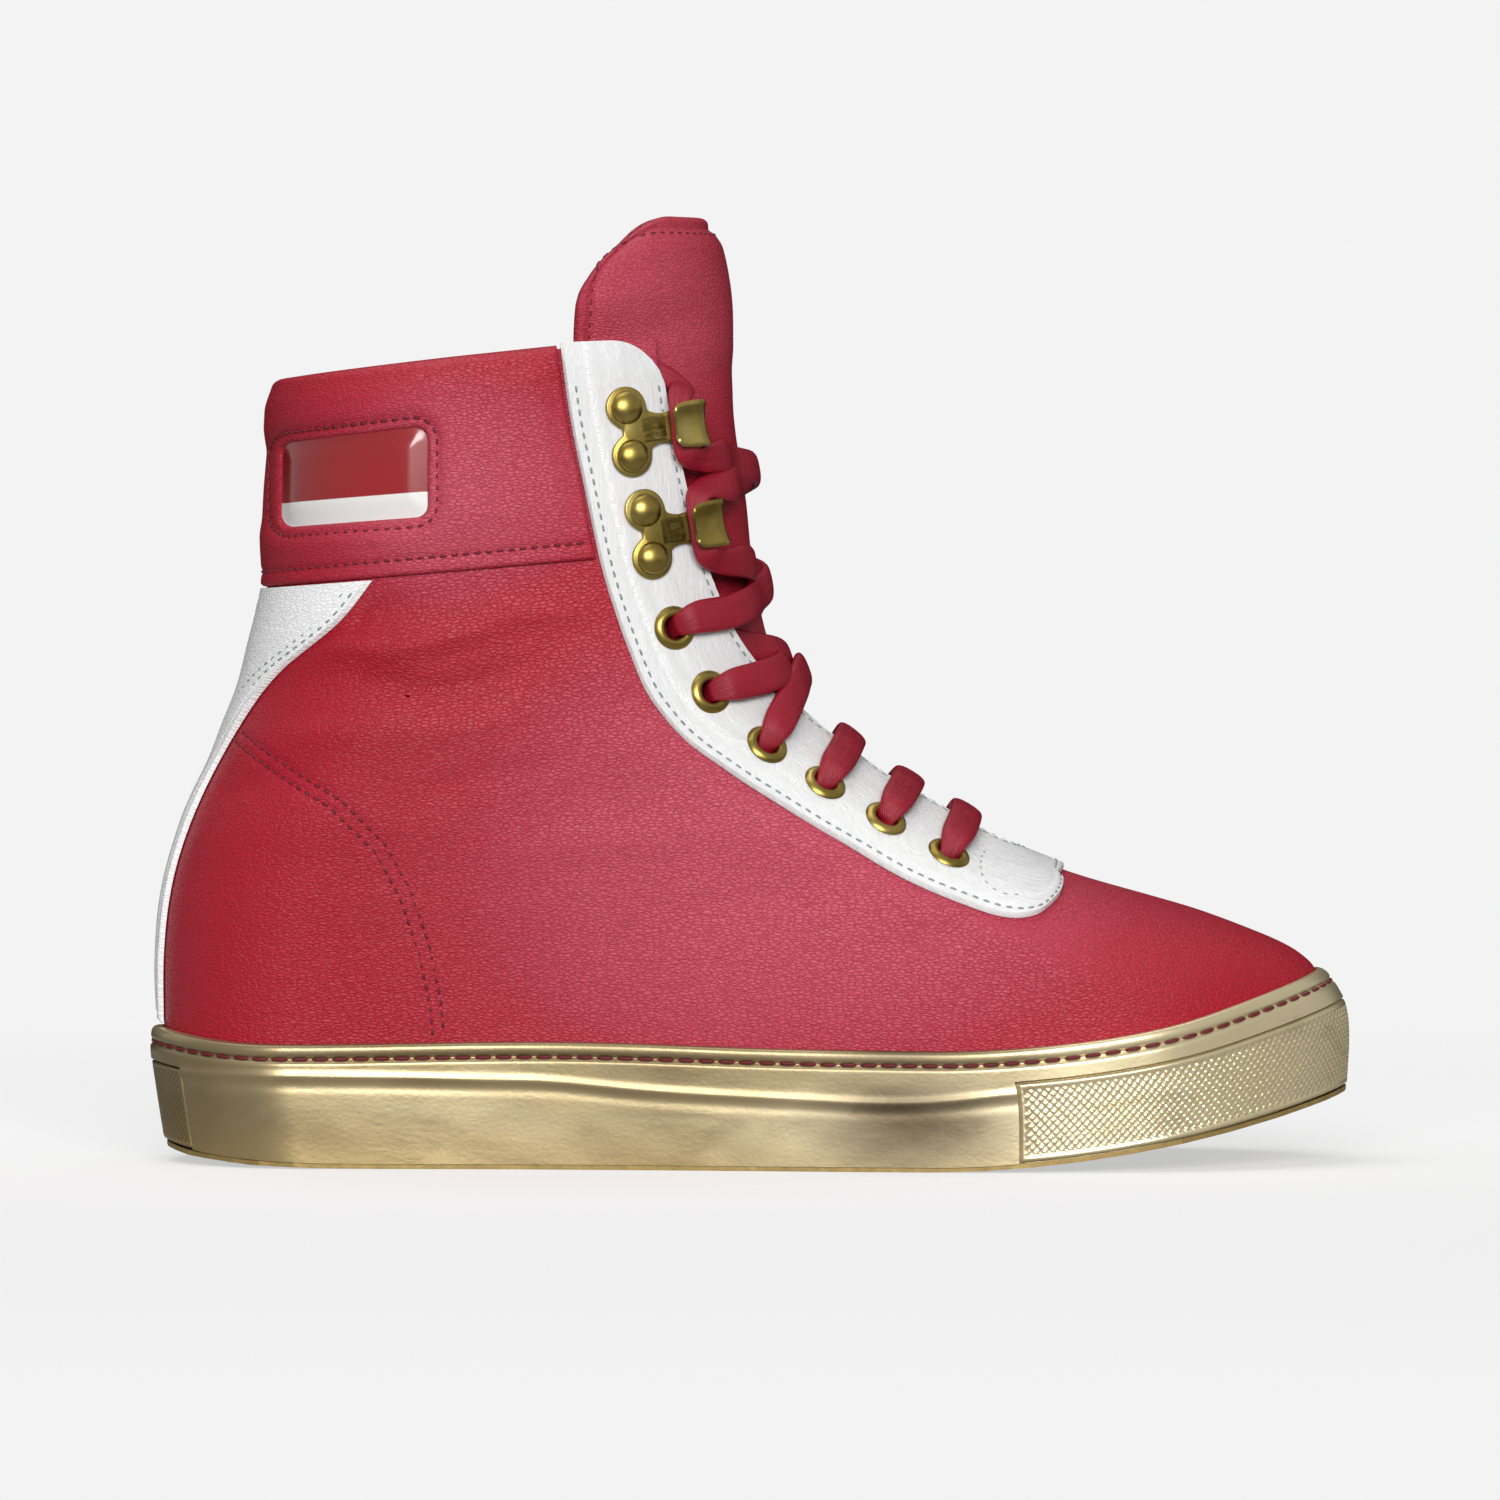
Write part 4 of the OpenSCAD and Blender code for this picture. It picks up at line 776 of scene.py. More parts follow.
def stay_grid(per=5, cols=31):
    """Places (a, zn) over the whole eyestay, medial top to lateral top."""
    front, rear = [], []
    for zf, x, zr in STAY_ROWS:
        z = level(x, zr)
        front.append([float(throat_a(np.array(zf))), zf])
        rear.append([float(ring_a(x, z)), float(z)])
    front, rear = np.array(front), np.array(rear)
    s = np.arange(len(front))
    fine = np.linspace(0, len(front) - 1, (len(front) - 1) * per + 1)
    f = np.stack([smooth(np.stack([s, front[:, k]], 1))(fine) for k in (0, 1)], -1)
    r = np.stack([smooth(np.stack([s, rear[:, k]], 1))(fine) for k in (0, 1)], -1)
    f[:, 0] = np.minimum(f[:, 0], 1)
    toe_f, toe_r = np.array([1, THROAT_Z]), np.array([1, 70.4])
    extra = 5
    w = np.linspace(0, 1, extra + 1)[:-1]
    # round the toe end in a few more steps
    f_mid = toe_f + (f[0] - toe_f) * w[:, None]
    r_mid = np.stack([toe_r[0] + (r[0, 0] - toe_r[0]) * np.sin(w * np.pi / 2),
                      toe_r[1] + (r[0, 1] - toe_r[1]) * (1 - np.cos(w * np.pi / 2))], -1)
    f = np.concatenate([f_mid, f])
    r = np.concatenate([r_mid, r])
    t = np.linspace(0, 1, cols)
    t = 0.5 - 0.5 * np.cos(np.pi * t) * 0.35 - 0.5 * (1 - 2 * t) * 0.65
    half = f[:, None] + (r - f)[:, None] * t[None, :, None]
    medial = half[:0:-1].copy()
    lateral = half.copy()
    lateral[..., 0] *= -1
    # meet at the toe
    lateral[0, :, 0] = -1
    grid = np.concatenate([medial, lateral])
    return grid, t


def make_eyestay():
    grid, t = stay_grid()
    a, zn = grid[..., 0].copy(), grid[..., 1].copy()
    # the front top corner is rounded off
    p = skin(a, zn)
    x, z, side = p[..., 0], p[..., 2], np.sign(a)
    for rows_of in (slice(0, 45), slice(-45, None)):
        xs, zs = x[rows_of], z[rows_of]
        front, top = xs[:, :1], zs.max(0, keepdims=True)
        r = 12.0
        across, up = (xs - front + r) / r, (zs - top + r) / r
        corner = (across > 0) & (up > 0)
        m, q = np.maximum(across, up), np.maximum(np.hypot(across, up), 1e-6)
        xs = np.where(corner, front - r + across * m / q * r, xs)
        zs = np.where(corner, top - r + up * m / q * r, zs)
        zl = level(xs, zs)
        a[rows_of] = np.where(corner, side[rows_of] * ring_a(xs, zl), a[rows_of])
        zn[rows_of] = np.where(corner, zl, zn[rows_of])
    p = skin(a, zn)
    keep = pierce(p, a, zn, np.ones((a.shape[0] - 1, a.shape[1] - 1), bool))
    p = skin(a, zn)
    n = normal_at(a, zn)
    u, v = lengths(p)
    edge = np.minimum(u, u.max(1, keepdims=True) - u)
    ends = np.minimum(np.arange(a.shape[0]), np.arange(a.shape[0])[::-1])[:, None] * 2.2
    edge = np.minimum(edge, ends)
    soft = rounded(edge, 0.8)
    puff = 0.25 * ease(edge / 5) - 0.28 * np.exp(-((edge - 2.4) / 0.7) ** 2)
    outer = p + (TRIM_IN + 0.45 + (TRIM_OUT - TRIM_IN - 0.45) * soft + puff * 0.6)[..., None] * n
    inner = p + TRIM_IN * n
    return settle(shell("eyestay_leather", outer, inner, finish["white"], keep, None,
                        np.stack([u, v], -1), 45), "white_leather", "eyestay")


def make_backstay():
    zn = np.linspace(34.5, 142.7, 88)
    e = ring_a(backstay_front(zn), zn)
    t = np.linspace(-1, 1, 81)
    a, z2 = e[:, None] * t, np.repeat(zn[:, None], 81, 1)
    p, n = skin(a, z2), normal_at(a, z2)
    u, _ = lengths(p)
    edge = np.minimum(u, u.max(1, keepdims=True) - u)
    edge = np.minimum(edge, np.minimum(z2 - 34.5, 142.7 - z2 + 0.4))
    soft = rounded(edge, 0.8)
    puff = 0.15 * ease(edge / 4) - 0.25 * np.exp(-((edge - 2.4) / 0.7) ** 2)
    ripple = 0.22 * np.sin(z2 / 4.2 + 0.05 * u) * np.exp(-((z2 - 112) / 22) ** 2)
    outer = p + (TRIM_IN + 0.4 + (TRIM_OUT - TRIM_IN - 0.4) * soft + puff + ripple)[..., None] * n
    inner = p + TRIM_IN * n
    return settle(shell("backstay_leather", outer, inner, finish["white"], uv=np.stack([u, z2], -1)),
                  "white_leather", "backstay")


WINDOW = np.array([(-112.4, 161.4), (-82.2, 163.7), (-82.2, 179.6), (-112.4, 176.0)], float)
WINDOW_R = 3.1


def window_distance(x, z):
    """Distance outside (positive) a four-sided window with rounded corners, in side view."""
    inside, best = np.full(x.shape, True), np.full(x.shape, 1e9)
    for k in range(4):
        p0, p1 = WINDOW[k], WINDOW[(k + 1) % 4]
        e = p1 - p0
        wx, wz = x - p0[0], z - p0[1]
        h = np.clip((wx * e[0] + wz * e[1]) / (e @ e), 0, 1)
        best = np.minimum(best, np.hypot(wx - e[0] * h, wz - e[1] * h))
        inside &= (e[0] * wz - e[1] * wx) > 0
    return np.where(inside, -best, best) - WINDOW_R


def make_collar():
    rows, cols = 104, 401
    zn = np.linspace(BAND_Z, COLLAR_Z + 0.9, rows)
    e = rear_a(zn, 0.7)
    t = np.linspace(-1, 1, cols)
    a, z2 = e[:, None] * t, np.repeat(zn[:, None], cols, 1)
    p, n = skin(a, z2), normal_at(a, z2)
    w = window_distance(p[..., 0], p[..., 2])
    cell = (w < 0.0)
    hole = cell[:-1, :-1] | cell[:-1, 1:] | cell[1:, 1:] | cell[1:, :-1]
    keep = ~hole
    # the ring of points round the hole moves onto the window's outline
    rim = np.zeros(w.shape, bool)
    for i, j in ((0, 0), (0, 1), (1, 0), (1, 1)):
        rim[i:rows - 1 + i, j:cols - 1 + j] |= hole
    rim &= (w >= 0) & (w < 2)
    x1, z1 = p[..., 0][rim], p[..., 2][rim]
    for _ in range(3):
        w1 = window_distance(x1, z1)
        gx = (window_distance(x1 + 0.05, z1) - w1) / 0.05
        gz = (window_distance(x1, z1 + 0.05) - w1) / 0.05
        x1, z1 = x1 - w1 * gx, z1 - w1 * gz
    z2[rim] = level(x1, z1)
    a[rim] = np.sign(a[rim]) * ring_a(x1, z2[rim])
    p, n = skin(a, z2), normal_at(a, z2)
    w = window_distance(p[..., 0], p[..., 2])
    u, _ = lengths(p)
    low, side = z2 - BAND_Z, np.minimum(u, u.max(1, keepdims=True) - u)
    soft = rounded(np.minimum(low, side), 0.9)
    pad = ease(low / 14) * ease((COLLAR_Z + 1 - z2) / 9) * ease(side / 8)
    frame_edge = ease(np.abs(w) / 6)
    stitch = 0.45 * np.exp(-((low - 3.6) / 0.9) ** 2) + 0.4 * np.exp(-((w - 2.4) / 0.8) ** 2)
    top = rounded(COLLAR_Z + 0.9 - z2, 2.4)
    wave = 0.28 * np.sin(u / 17 + z2 / 9) * pad
    d = TRIM_IN + 0.5 + (TRIM_OUT - TRIM_IN - 0.5) * soft + 1.5 * pad * frame_edge - stitch + wave
    d = d - 0.9 * (1 - rounded(np.maximum(w, 0), 1.0))
    d = d * top - 2.2 * (1 - top)
    outer = p + d[..., None] * n
    inner = p + np.minimum(TRIM_IN, d - 0.3)[..., None] * n
    collar = settle(shell("collar_leather", outer, inner, finish["red"], keep, None,
                          np.stack([u, z2], -1), 50), "red_leather", "collar_band")
    return collar


def make_label():
    piece = []
    for side in (-1, 1):
        rows, cols = 30, 60
        x = np.linspace(-117.6, -77.6, cols)
        v = np.linspace(0, 1, rows)
        z = (mix(156.6, 159.0, np.clip((x + 114.5) / 34.3, 0, 1))[None, :] * (1 - v[:, None])
             + mix(180.6, 184.4, np.clip((x + 114.5) / 34.3, 0, 1))[None, :] * v[:, None])
        xx = np.repeat(x[None, :], rows, 0)
        zn = level(xx, z)
        a = side * ring_a(xx, zn)
        w = window_distance(xx, z)
        p, n = skin(a, zn), normal_at(a, zn)
        bulge = 0.75 * ease(-w / 5) - 0.1
        outer, inner = p + (TRIM_IN + 0.45 + bulge)[..., None] * n, p + (TRIM_IN - 0.1) * n
        uv = np.stack([np.repeat(np.linspace(0, 1, cols)[None], rows, 0) / UV_SCALE,
                       np.repeat(v[:, None], cols, 1) / UV_SCALE], -1)
        piece.append(shell("label_" + ("lateral" if side < 0 else "medial"), outer, inner,
                           finish["label"], uv=uv, flip=side > 0))
    return join("label_insert", piece, "label", "label_insert")


def join(name, pieces, slot_name, *nodes, body="boot"):
    """One piece from several."""
    b = bmesh.new()
    for p in pieces:
        b.from_mesh(p.data)
    mesh = pieces[0].data
    b.to_mesh(mesh)
    b.free()
    for p in pieces[1:]:
        old = p.data
        bpy.data.objects.remove(p)
        bpy.data.meshes.remove(old)
    pieces[0].name = mesh.name = name
    return settle(pieces[0], slot_name, *nodes, body=body)


def make_lining():
    zn = np.concatenate([np.linspace(22, 60, 26), np.linspace(60, COLLAR_Z + 0.6, 84)[1:]])
    cols = 241
    e = np.where(zn < 60, 1.0, rear_a(np.maximum(zn, 62), 1.5))
    t = np.linspace(-1, 1, cols)
    a, z2 = e[:, None] * t, np.repeat(zn[:, None], cols, 1)
    p, n = skin(a, z2), normal_at(a, z2)
    deep = mix(LINING_OUT, COLLAR_IN - 0.35, ease((z2 - 122) / 22))
    roll = rounded(COLLAR_Z + 0.6 - z2, 3.2)
    pad = 1.2 * ease((z2 - 140) / 12) * ease((COLLAR_Z - 4 - z2) / 10)
    d = mix(-2.4, deep - pad, roll)
    outer, inner = p + d[..., None] * n, p + (d - LINING_T)[..., None] * n
    u, _ = lengths(p)
    lining = settle(shell("lining_cloth", outer, inner, finish["lining"], None, zn < 60,
                          np.stack([u, z2], -1), 50), "lining", "lining", "collar_foam")
    return lining


make_upper()
make_eyestay()
make_backstay()
make_collar()
make_label()
make_lining()


# ------------------------------------------------------------------ tongue

def tongue_out(a, zn):
    q = (1 - np.abs(wrap(a))) / np.maximum(1 - throat_a(np.maximum(zn, THROAT_Z + 1)), 0.02)
    mid = np.where(zn > 172, mix(TONGUE_MID, -1.6, ease((zn - 172) / 20)), TONGUE_MID)
    side = mix(TONGUE_UNDER, TONGUE_MID - 0.4, ease((zn - 195) / 12))
    return np.where(zn < THROAT_Z, TONGUE_UNDER, mix(mid, side, ease(q * 1.05)))


def tongue_a(zn):
    return ring_a(tongue_rear(zn + lean(zn) * 80), zn)


def level_zn(a, z):
    return np.where(z < 100, z, level(base(a, z - 10)[..., 0], z))


def make_tongue():
    z = np.concatenate([np.linspace(67, 200, 120), np.linspace(200, TONGUE_TOP_Z + 1.5, 70)[1:]])
    cols = 141
    t = np.linspace(-1, 1, cols)
    t = 0.55 * t + 0.45 * np.sin(np.pi / 2 * t)
    e = tongue_a(level_zn(np.full(z.shape, 0.8), z))
    a = mix(e[:, None], 2 - e[:, None], (t + 1) / 2)
    zz = np.repeat(z[:, None], cols, 1)
    zn = level_zn(a, zz)
    q = (1 - np.abs(wrap(a))) / (1 - tongue_a(zn))
    thick = mix(TONGUE_T, TONGUE_T * 0.55, ease(q * 1.2 - 0.2)) * mix(0.6, 1, ease((zn - 68) / 20))
    front = tongue_out(a, zn)
    p, n = skin(a, zn), normal_at(a, zn)
    u, _ = lengths(p)
    edge = np.minimum(u, u.max(1, keepdims=True) - u)
    top = TONGUE_TOP_Z + 1.5 - zz
    r = 18.0
    corner = np.where((edge < r) & (top < r), r - np.hypot(r - edge, r - top), np.minimum(edge, top))
    rim = np.maximum(corner, 0)
    soft = rounded(rim, 2.6)
    high = ease((zz - 196) / 8)
    seam = 0.75 * np.exp(-((rim - 3.9) / 0.9) ** 2) * high
    pad = 1.3 * ease((rim - 4) / 6) * high * ease((front_x(zn) - p[..., 0]) / 2 + 1)
    wrinkle = 0.25 * np.sin(zz / 4.7 + u / 9) * ease((zz - 190) / 12) * ease(rim / 6)
    half = thick / 2
    mid = front - half
    outer = p + (mid + half * soft + (pad * 0.35 - seam + wrinkle) * (rim > 0))[..., None] * n
    inner = p + (mid - half * soft - pad * 0.4 + seam * 0.6)[..., None] * n
    # the two top corners are drawn in along the edge's own arc
    wide = np.clip(edge / 21, 0, 1)
    drop = 15.5 * (1 - np.sqrt(np.maximum(1 - (1 - wide) ** 2.2, 0))) ** 0.9
    share = ease(1 - top / 30)
    down = (drop * share)[..., None] * np.array([0, 0, -1.0])
    rim = np.minimum(edge, top)
    soft = rounded(rim, 2.6)
    tongue = shell("padded_tongue", outer + down, inner + down, finish["red"],
                   uv=np.stack([u, zz], -1), angle=60)
    tongue.data.materials.append(finish["lining"])
    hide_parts("tongue_face", "tongue_foam", "tongue_lining",
                "tongue_top_face", "tongue_top_foam", "tongue_top_lining")
    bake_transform(tongue)
    face = outer + down
    row = int(np.argmin(np.abs(z - 204)))
    last = int(np.argmin(np.abs(z - (TONGUE_TOP_Z - 3.9))))
    left = [int(np.argmin(np.abs(u[i, :70] - 3.9))) for i in range(row, last)]
    path = [(i, j) for i, j in zip(range(row, last), left)]
    path += [(last, j) for j in range(left[-1], cols - left[-1])]
    path += [(i, cols - 1 - j) for i, j in zip(range(row, last), left)][::-1]
    i, j = np.array(path).T
    stitches("tongue_stitching", [(face[i, j] - 0.05 * n[i, j], n[i, j])], finish["thread"],
             "red_thread", 2.1, 0.75, 0.3, body="tongue_top")


# ------------------------------------------------------------------ turned and folded brass

def lathe(profile, steps=48):
    """Points and faces of a closed ring profile [(r, z)] turned round Z, in mm."""
    prof = np.array(profile, float)
    w = np.linspace(0, 2 * np.pi, steps, endpoint=False)
    pts = np.stack([prof[:, 0, None] * np.cos(w), prof[:, 0, None] * np.sin(w),
                    np.repeat(prof[:, 1, None], steps, 1)], -1)
    n = len(prof)
    faces = []
    for i in range(n):
        j = (i + 1) % n
        if prof[i, 0] < 1e-6 and prof[j, 0] < 1e-6:
            continue
        for k in range(steps):
            m = (k + 1) % steps
            faces.append((i * steps + k, i * steps + m, j * steps + m, j * steps + k))
    return pts.reshape(-1, 3), faces


def place(points, matrix):
    m = np.array(matrix)
    return points @ m[:3, :3].T + m[:3, 3] / MM


def gather(name, parts, material, angle=40):
    """One mesh from many (points, faces) parts."""
    pts, faces, at = [], [], 0
    for p, f in parts:
        pts.append(p)
        faces += [tuple(at + k for k in face) for face in f]
        at += len(p)
    return add(name, np.concatenate(pts), faces, material, angle=angle, merge=0.001, recalc=True)


def make_eyelets():
    top = TRIM_OUT + 0.35
    r = EYELET_HOLE_D / 2
    ring = lathe([(r, ROLL_IN + 0.2), (r, top - 0.3), (r + 0.1, top + 0.35), (r + 0.4, top + 0.75),
                  (r + 0.9, top + 0.95), (r + 1.5, top + 0.85), (r + 2.1, top + 0.5),
                  (r + 2.55, top + 0.1), (r + 2.68, top - 0.1), (r + 2.4, top - 0.12),
                  (r + BRASS_T, top - 0.1), (r + BRASS_T, ROLL_IN + 0.5), (r + 1.4, ROLL_IN + 0.5),
                  (r + 1.4, ROLL_IN), (r + 0.3, ROLL_IN)])
    parts, names = [], []
    for side in (-1, 1):
        for k, p in enumerate(EYELETS):
            parts.append((place(ring[0], stand(p, side)), ring[1]))
            names.append(f"eyelet_{'lateral' if side < 0 else 'medial'}_{k + 1}")
    return settle(gather("pressed_eyelets", parts, finish["brass"], 50), "brass", *names)


def hook_plate(lobe, t):
    """Plate with a lobe for each rivet and a shoulder towards the neck."""
    w = np.linspace(0, 2 * np.pi, 120, endpoint=False)
    out = np.zeros(120)
    for step in np.arange(0.5, 16, 0.05):
        x, y = 1.5 + step * np.cos(w), step * np.sin(w)
        near = np.minimum(np.hypot(x, y - 6), np.hypot(x, y + 6)) - lobe
        neck = np.maximum(np.abs(y) - mix(7.2, 3.6, ease(x / 8.5)), np.maximum(-1.6 - x, x - 10))
        out = np.where(np.minimum(near, neck) < 0, step, out)
    kernel = np.array([1, 3, 5, 3, 1]) / 13
    for _ in range(2):
        out = np.convolve(np.pad(out, 2, "wrap"), kernel, "valid")
    rings = [(0.02, -0.25), (0.1, 0), (t - 0.25, 0), (t - 0.06, -0.12), (t, -0.4)]
    pts = [(1.5 + (o + d) * math.cos(a), (o + d) * math.sin(a), z) for z, d in rings for o, a in zip(out, w)]
    faces = [(i * 120 + k, i * 120 + (k + 1) % 120, (i + 1) * 120 + (k + 1) % 120, (i + 1) * 120 + k)
             for i in range(4) for k in range(120)]
    faces += [tuple(range(120))[::-1], tuple(480 + k for k in range(120))]
    return np.array(pts), faces


def make_hooks():
    t = HOOK_T
    lobe = RIVET_PITCH / 2 - 0.75
    plate = hook_plate(lobe, t)
    # middle line of the strip, and its width
    line = [(3.5, t / 2, 7.0), (6, t / 2, 7.0), (8.5, t / 2, 7.2), (10.5, t / 2, 7.8),
            (12.5, t / 2, 9.0), (14.5, t / 2, 10.4), (FOLD_X - 0.3, t / 2, 11.1)]
    mid_r = FOLD_R + t / 2
    for w in np.linspace(-90, 90, 15)[1:-1]:
        line.append((FOLD_X + mid_r * math.cos(math.radians(w)),
                     t / 2 + mid_r + mid_r * math.sin(math.radians(w)), HOOK_W))
    line += [(FOLD_X, t / 2 + 2 * mid_r, HOOK_W), (14.5, t / 2 + 2 * mid_r + 0.05, HOOK_W),
             (12.6, t / 2 + 2 * mid_r + 0.2, HOOK_W - 0.2), (11.4, t / 2 + 2 * mid_r + 0.45, 10.6),
             (10.8, t / 2 + 2 * mid_r + 0.6, 9.4), (10.4, t / 2 + 2 * mid_r + 0.7, 7.4)]
    line = np.array(line)
    cols = 17
    y = np.linspace(-1, 1, cols)
    mid = np.zeros((len(line), cols, 3))
    mid[..., 0] = line[:, :1]
    mid[..., 1] = line[:, 2:] / 2 * y
    mid[..., 2] = line[:, 1:2]
    back = ease((np.arange(len(line)) - 6) / 8)[:, None] * np.abs(y) ** 2.5
    mid[..., 0] += 0.9 * back * (line[:, :1] > 12)
    mid[..., 2] += 0.7 * back * (line[:, 1:2] > 2.5)
    along, across = np.gradient(mid, axis=0), np.gradient(mid, axis=1)
    n = unit(np.cross(along, across))
    rim = rounded(np.minimum((1 - np.abs(y)) * 6, 1.0), 0.5)[None] * np.ones((len(line), 1))
    outer, inner = mid + n * (t / 2 * rim)[..., None], mid - n * (t / 2 * rim)[..., None]
    strip = shell("strip", outer, inner, finish["brass"], angle=50)
    b = bmesh.new()
    b.from_mesh(strip.data)
    strip_points = np.array([v.co[:] for v in b.verts]) / MM
    strip_faces = [[v.index for v in f.verts] for f in b.faces]
    b.free()
    bpy.data.objects.remove(strip)
    for side in (-1, 1):
        for k, level_name in ((0, "upper"), (1, "lower")):
            m = hook_frame(k, side)
            parts = [(place(plate[0], m), plate[1])]
            parts.append((place(strip_points, m), strip_faces))
            word = "lateral" if side < 0 else "medial"
            settle(gather(f"hook_{word}_{level_name}", parts, finish["brass"], 50), "brass",
                   f"lace_hook_{word}_{level_name}")
    head = RIVET_D / 2 - 0.02
    dome = [(head * math.cos(w), 2.3 * math.sin(w)) for w in np.linspace(0, np.pi / 2, 11)]
    base_z = t + 0.05
    profile = [(0, ROLL_IN - PLATE_Z), (2.3, ROLL_IN - PLATE_Z), (2.3, ROLL_IN - PLATE_Z + 0.5),
               (1.4, ROLL_IN - PLATE_Z + 0.6), (1.4, base_z), (head - 0.15, base_z)]
    profile += [(r, base_z + 0.3 + z) for r, z in dome]
    profile[-1] = (0.0, profile[-1][1])
    rivet = lathe(profile, 40)
    parts = []
    for side in (-1, 1):
        for k in (0, 1):
            for yy in (-1, 1):
                parts.append((place(rivet[0] + [0, yy * RIVET_PITCH / 2, 0], hook_frame(k, side)),
                              rivet[1]))
    settle(gather("hook_rivets_domed", parts, finish["brass"], 50), "brass", "hook_rivets")


# ------------------------------------------------------------------ the lace

BORE_W, BORE_T = 4.2, 2.6


def on_skin(a, zn, h, w=LACE_W):
    return (skin(a, zn, h), 0, normal_at(a, zn), w, LACE_T)


def eyelet_at(s, k, h):
    return skin(s * EYELETS[k][0], EYELETS[k][1], h)


def through(s, k, outer, inner):
    """Points through an eyelet from outside to inside, towards two other points."""
    n = normal_at(s * EYELETS[k][0], EYELETS[k][1])

    def heading(target):
        v = target - eyelet_at(s, k, 0.0)
        return unit(v - (v @ n) * n)
    g, i = heading(outer), heading(inner)
    wg, w1 = np.cross(n, g), np.cross(n, i)
    wi = -w1 if w1 @ wg < 0 else w1
    th = LACE_T + 0.3
    return [(eyelet_at(s, k, LACE_OVER) + 5 * g, 0, n, LACE_W, LACE_T),
            (eyelet_at(s, k, LACE_OVER - 0.3) + 2.4 * g, 1, wg, mix(BORE_W, LACE_W, 0.6), th),
            (eyelet_at(s, k, TRIM_OUT + 0.2) + 0.5 * g, 1, wg, BORE_W, BORE_T),
            (eyelet_at(s, k, -LEATHER_T + 0.6), 1, unit(wg + wi), BORE_W, BORE_T),
            (eyelet_at(s, k, ROLL_IN + 0.2) + 0.5 * i, 1, wi, BORE_W, BORE_T),
            (eyelet_at(s, k, LACE_UNDER) + 2.6 * i, 1, wi, mix(BORE_W, LACE_W, 0.5), th),
            (eyelet_at(s, k, LACE_UNDER) + 5.2 * i, 0, n, LACE_W, LACE_T)]


def ridge_zn(x):
    lo, hi = THROAT_Z - 20, COLLAR_Z
    for _ in range(16):
        m = (lo + hi) / 2
        lo, hi = (m, hi) if front_x(m) > x else (lo, m)
    return (lo + hi) / 2


BAR_REACH = [0, 0, 6.6, 5.4, 5.3, 3.9]


def bar_top(k):
    return np.array([1, ridge_zn(base(*EYELETS[k])[0] + BAR_REACH[k])])


def bar_mid(k):
    return skin(1, bar_top(k)[1], 0.0)


def bar(s, k):
    foot, head = base(*EYELETS[k]), base(*bar_top(k))

    def point(side, f):
        x, z = mix(foot[0], head[0], f), mix(foot[2], head[2], f)
        zn = level(x, z)
        return on_skin(side * ring_a(x, zn), zn, LACE_OVER - 0.6 * f)
    crown = on_skin(1, bar_top(k)[1], LACE_OVER - 0.9)
    return [point(s, 0.5), point(s, 0.84), crown, point(-s, 0.84), point(-s, 0.5)]


def strand_place(s, p1, p2, t):
    return s * mix(p1[0], 2 - p2[0], t), mix(p1[1], p2[1], t)


def strand(s, p1, h1, t1, p2, h2, t2, over, ts):
    out = []
    for t in ts:
        p = strand_place(s, p1, p2, t)
        run = tongue_out(*p) + LACE_T / 2 + 0.25
        if over:
            run = run + (LACE_T + 0.35) * (1 - ease((abs(t - 0.5) - 0.06) / 0.16))
        h = run + (h1 - run) * ease((t1 - t) / 0.2) + (h2 - run) * ease((t - 1 + t2) / 0.2)
        out.append(on_skin(*p, h))
    return out


def hook_slot(k, s, y):
    a, zn = s * HOOKS[k][0], HOOKS[k][1]
    n = normal_at(a, zn)
    up = unit(np.array([0, 0, 1]) - n[2] * n)
    f = -s * np.cross(up, n)
    w = math.radians(HOOK_TILT[k])
    c, v = f * math.cos(w) + up * math.sin(w), up * math.cos(w) - f * math.sin(w)
    return (skin(a, zn, PLATE_Z + FOLD_R + HOOK_T) + SLOT_X * c + y * v, 1, c, 5.6, LACE_T)


def near(p):
    zn = level(p[0], p[2])
    return ring_a(p[0], zn), zn


def slot_run(k, s):
    return [hook_slot(k, s, y) for y in (-8, 0, 8)]


TAIL = [(-17.6, 192.5, 2.4), (-21, 196, -2.6), (-26, 197.4, LACE_UNDER), (-31.5, 195, LACE_UNDER),
        (-35.8, 188.5, LACE_UNDER), (-37.2, 181, -3.4), (-37, 176, -3.1)]


def tail_run(s):
    return [on_skin(s * ring_a(x, level(x, z)), level(x, z), h, 6) for x, z, h in TAIL]


OVER_TS = [0.15, 0.22, 0.3, 0.38, 0.46, 0.54, 0.62, 0.7, 0.78, 0.85]
SLOT_TS = [0.15, 0.22, 0.3, 0.38, 0.46, 0.54, 0.62, 0.72, 0.86]
SLOTS_TS = [0.12, 0.24, 0.36, 0.46, 0.54, 0.64, 0.76, 0.88]
REACH_OVER, REACH_SLOT = 0.44, 0.3


def eyelet_pair(s, k1, k2, t):
    return skin(*strand_place(s, EYELETS[k1], EYELETS[k2], t), 0.0)


def hook_strand(s, over):
    return strand(s, near(hook_slot(1, s, -7.5)[0]), 3.6, REACH_SLOT, EYELETS[0], LACE_OVER,
                  REACH_OVER, over, [1 - t for t in SLOT_TS][::-1])


def hooks_strand(s, over):
    return strand(s, near(hook_slot(0, s, -7.5)[0]), 3.6, REACH_SLOT,
                  near(hook_slot(1, -s, 7.5)[0]), 3.6, REACH_SLOT, over, SLOTS_TS)


def inside_run(p, q, ts):
    out = []
    for t in ts:
        r = mix(np.array(p), np.array(q), t)
        out.append(on_skin(r[0], r[1], tongue_out(r[0], r[1]) + LACE_T / 2 + 0.6))
    return out


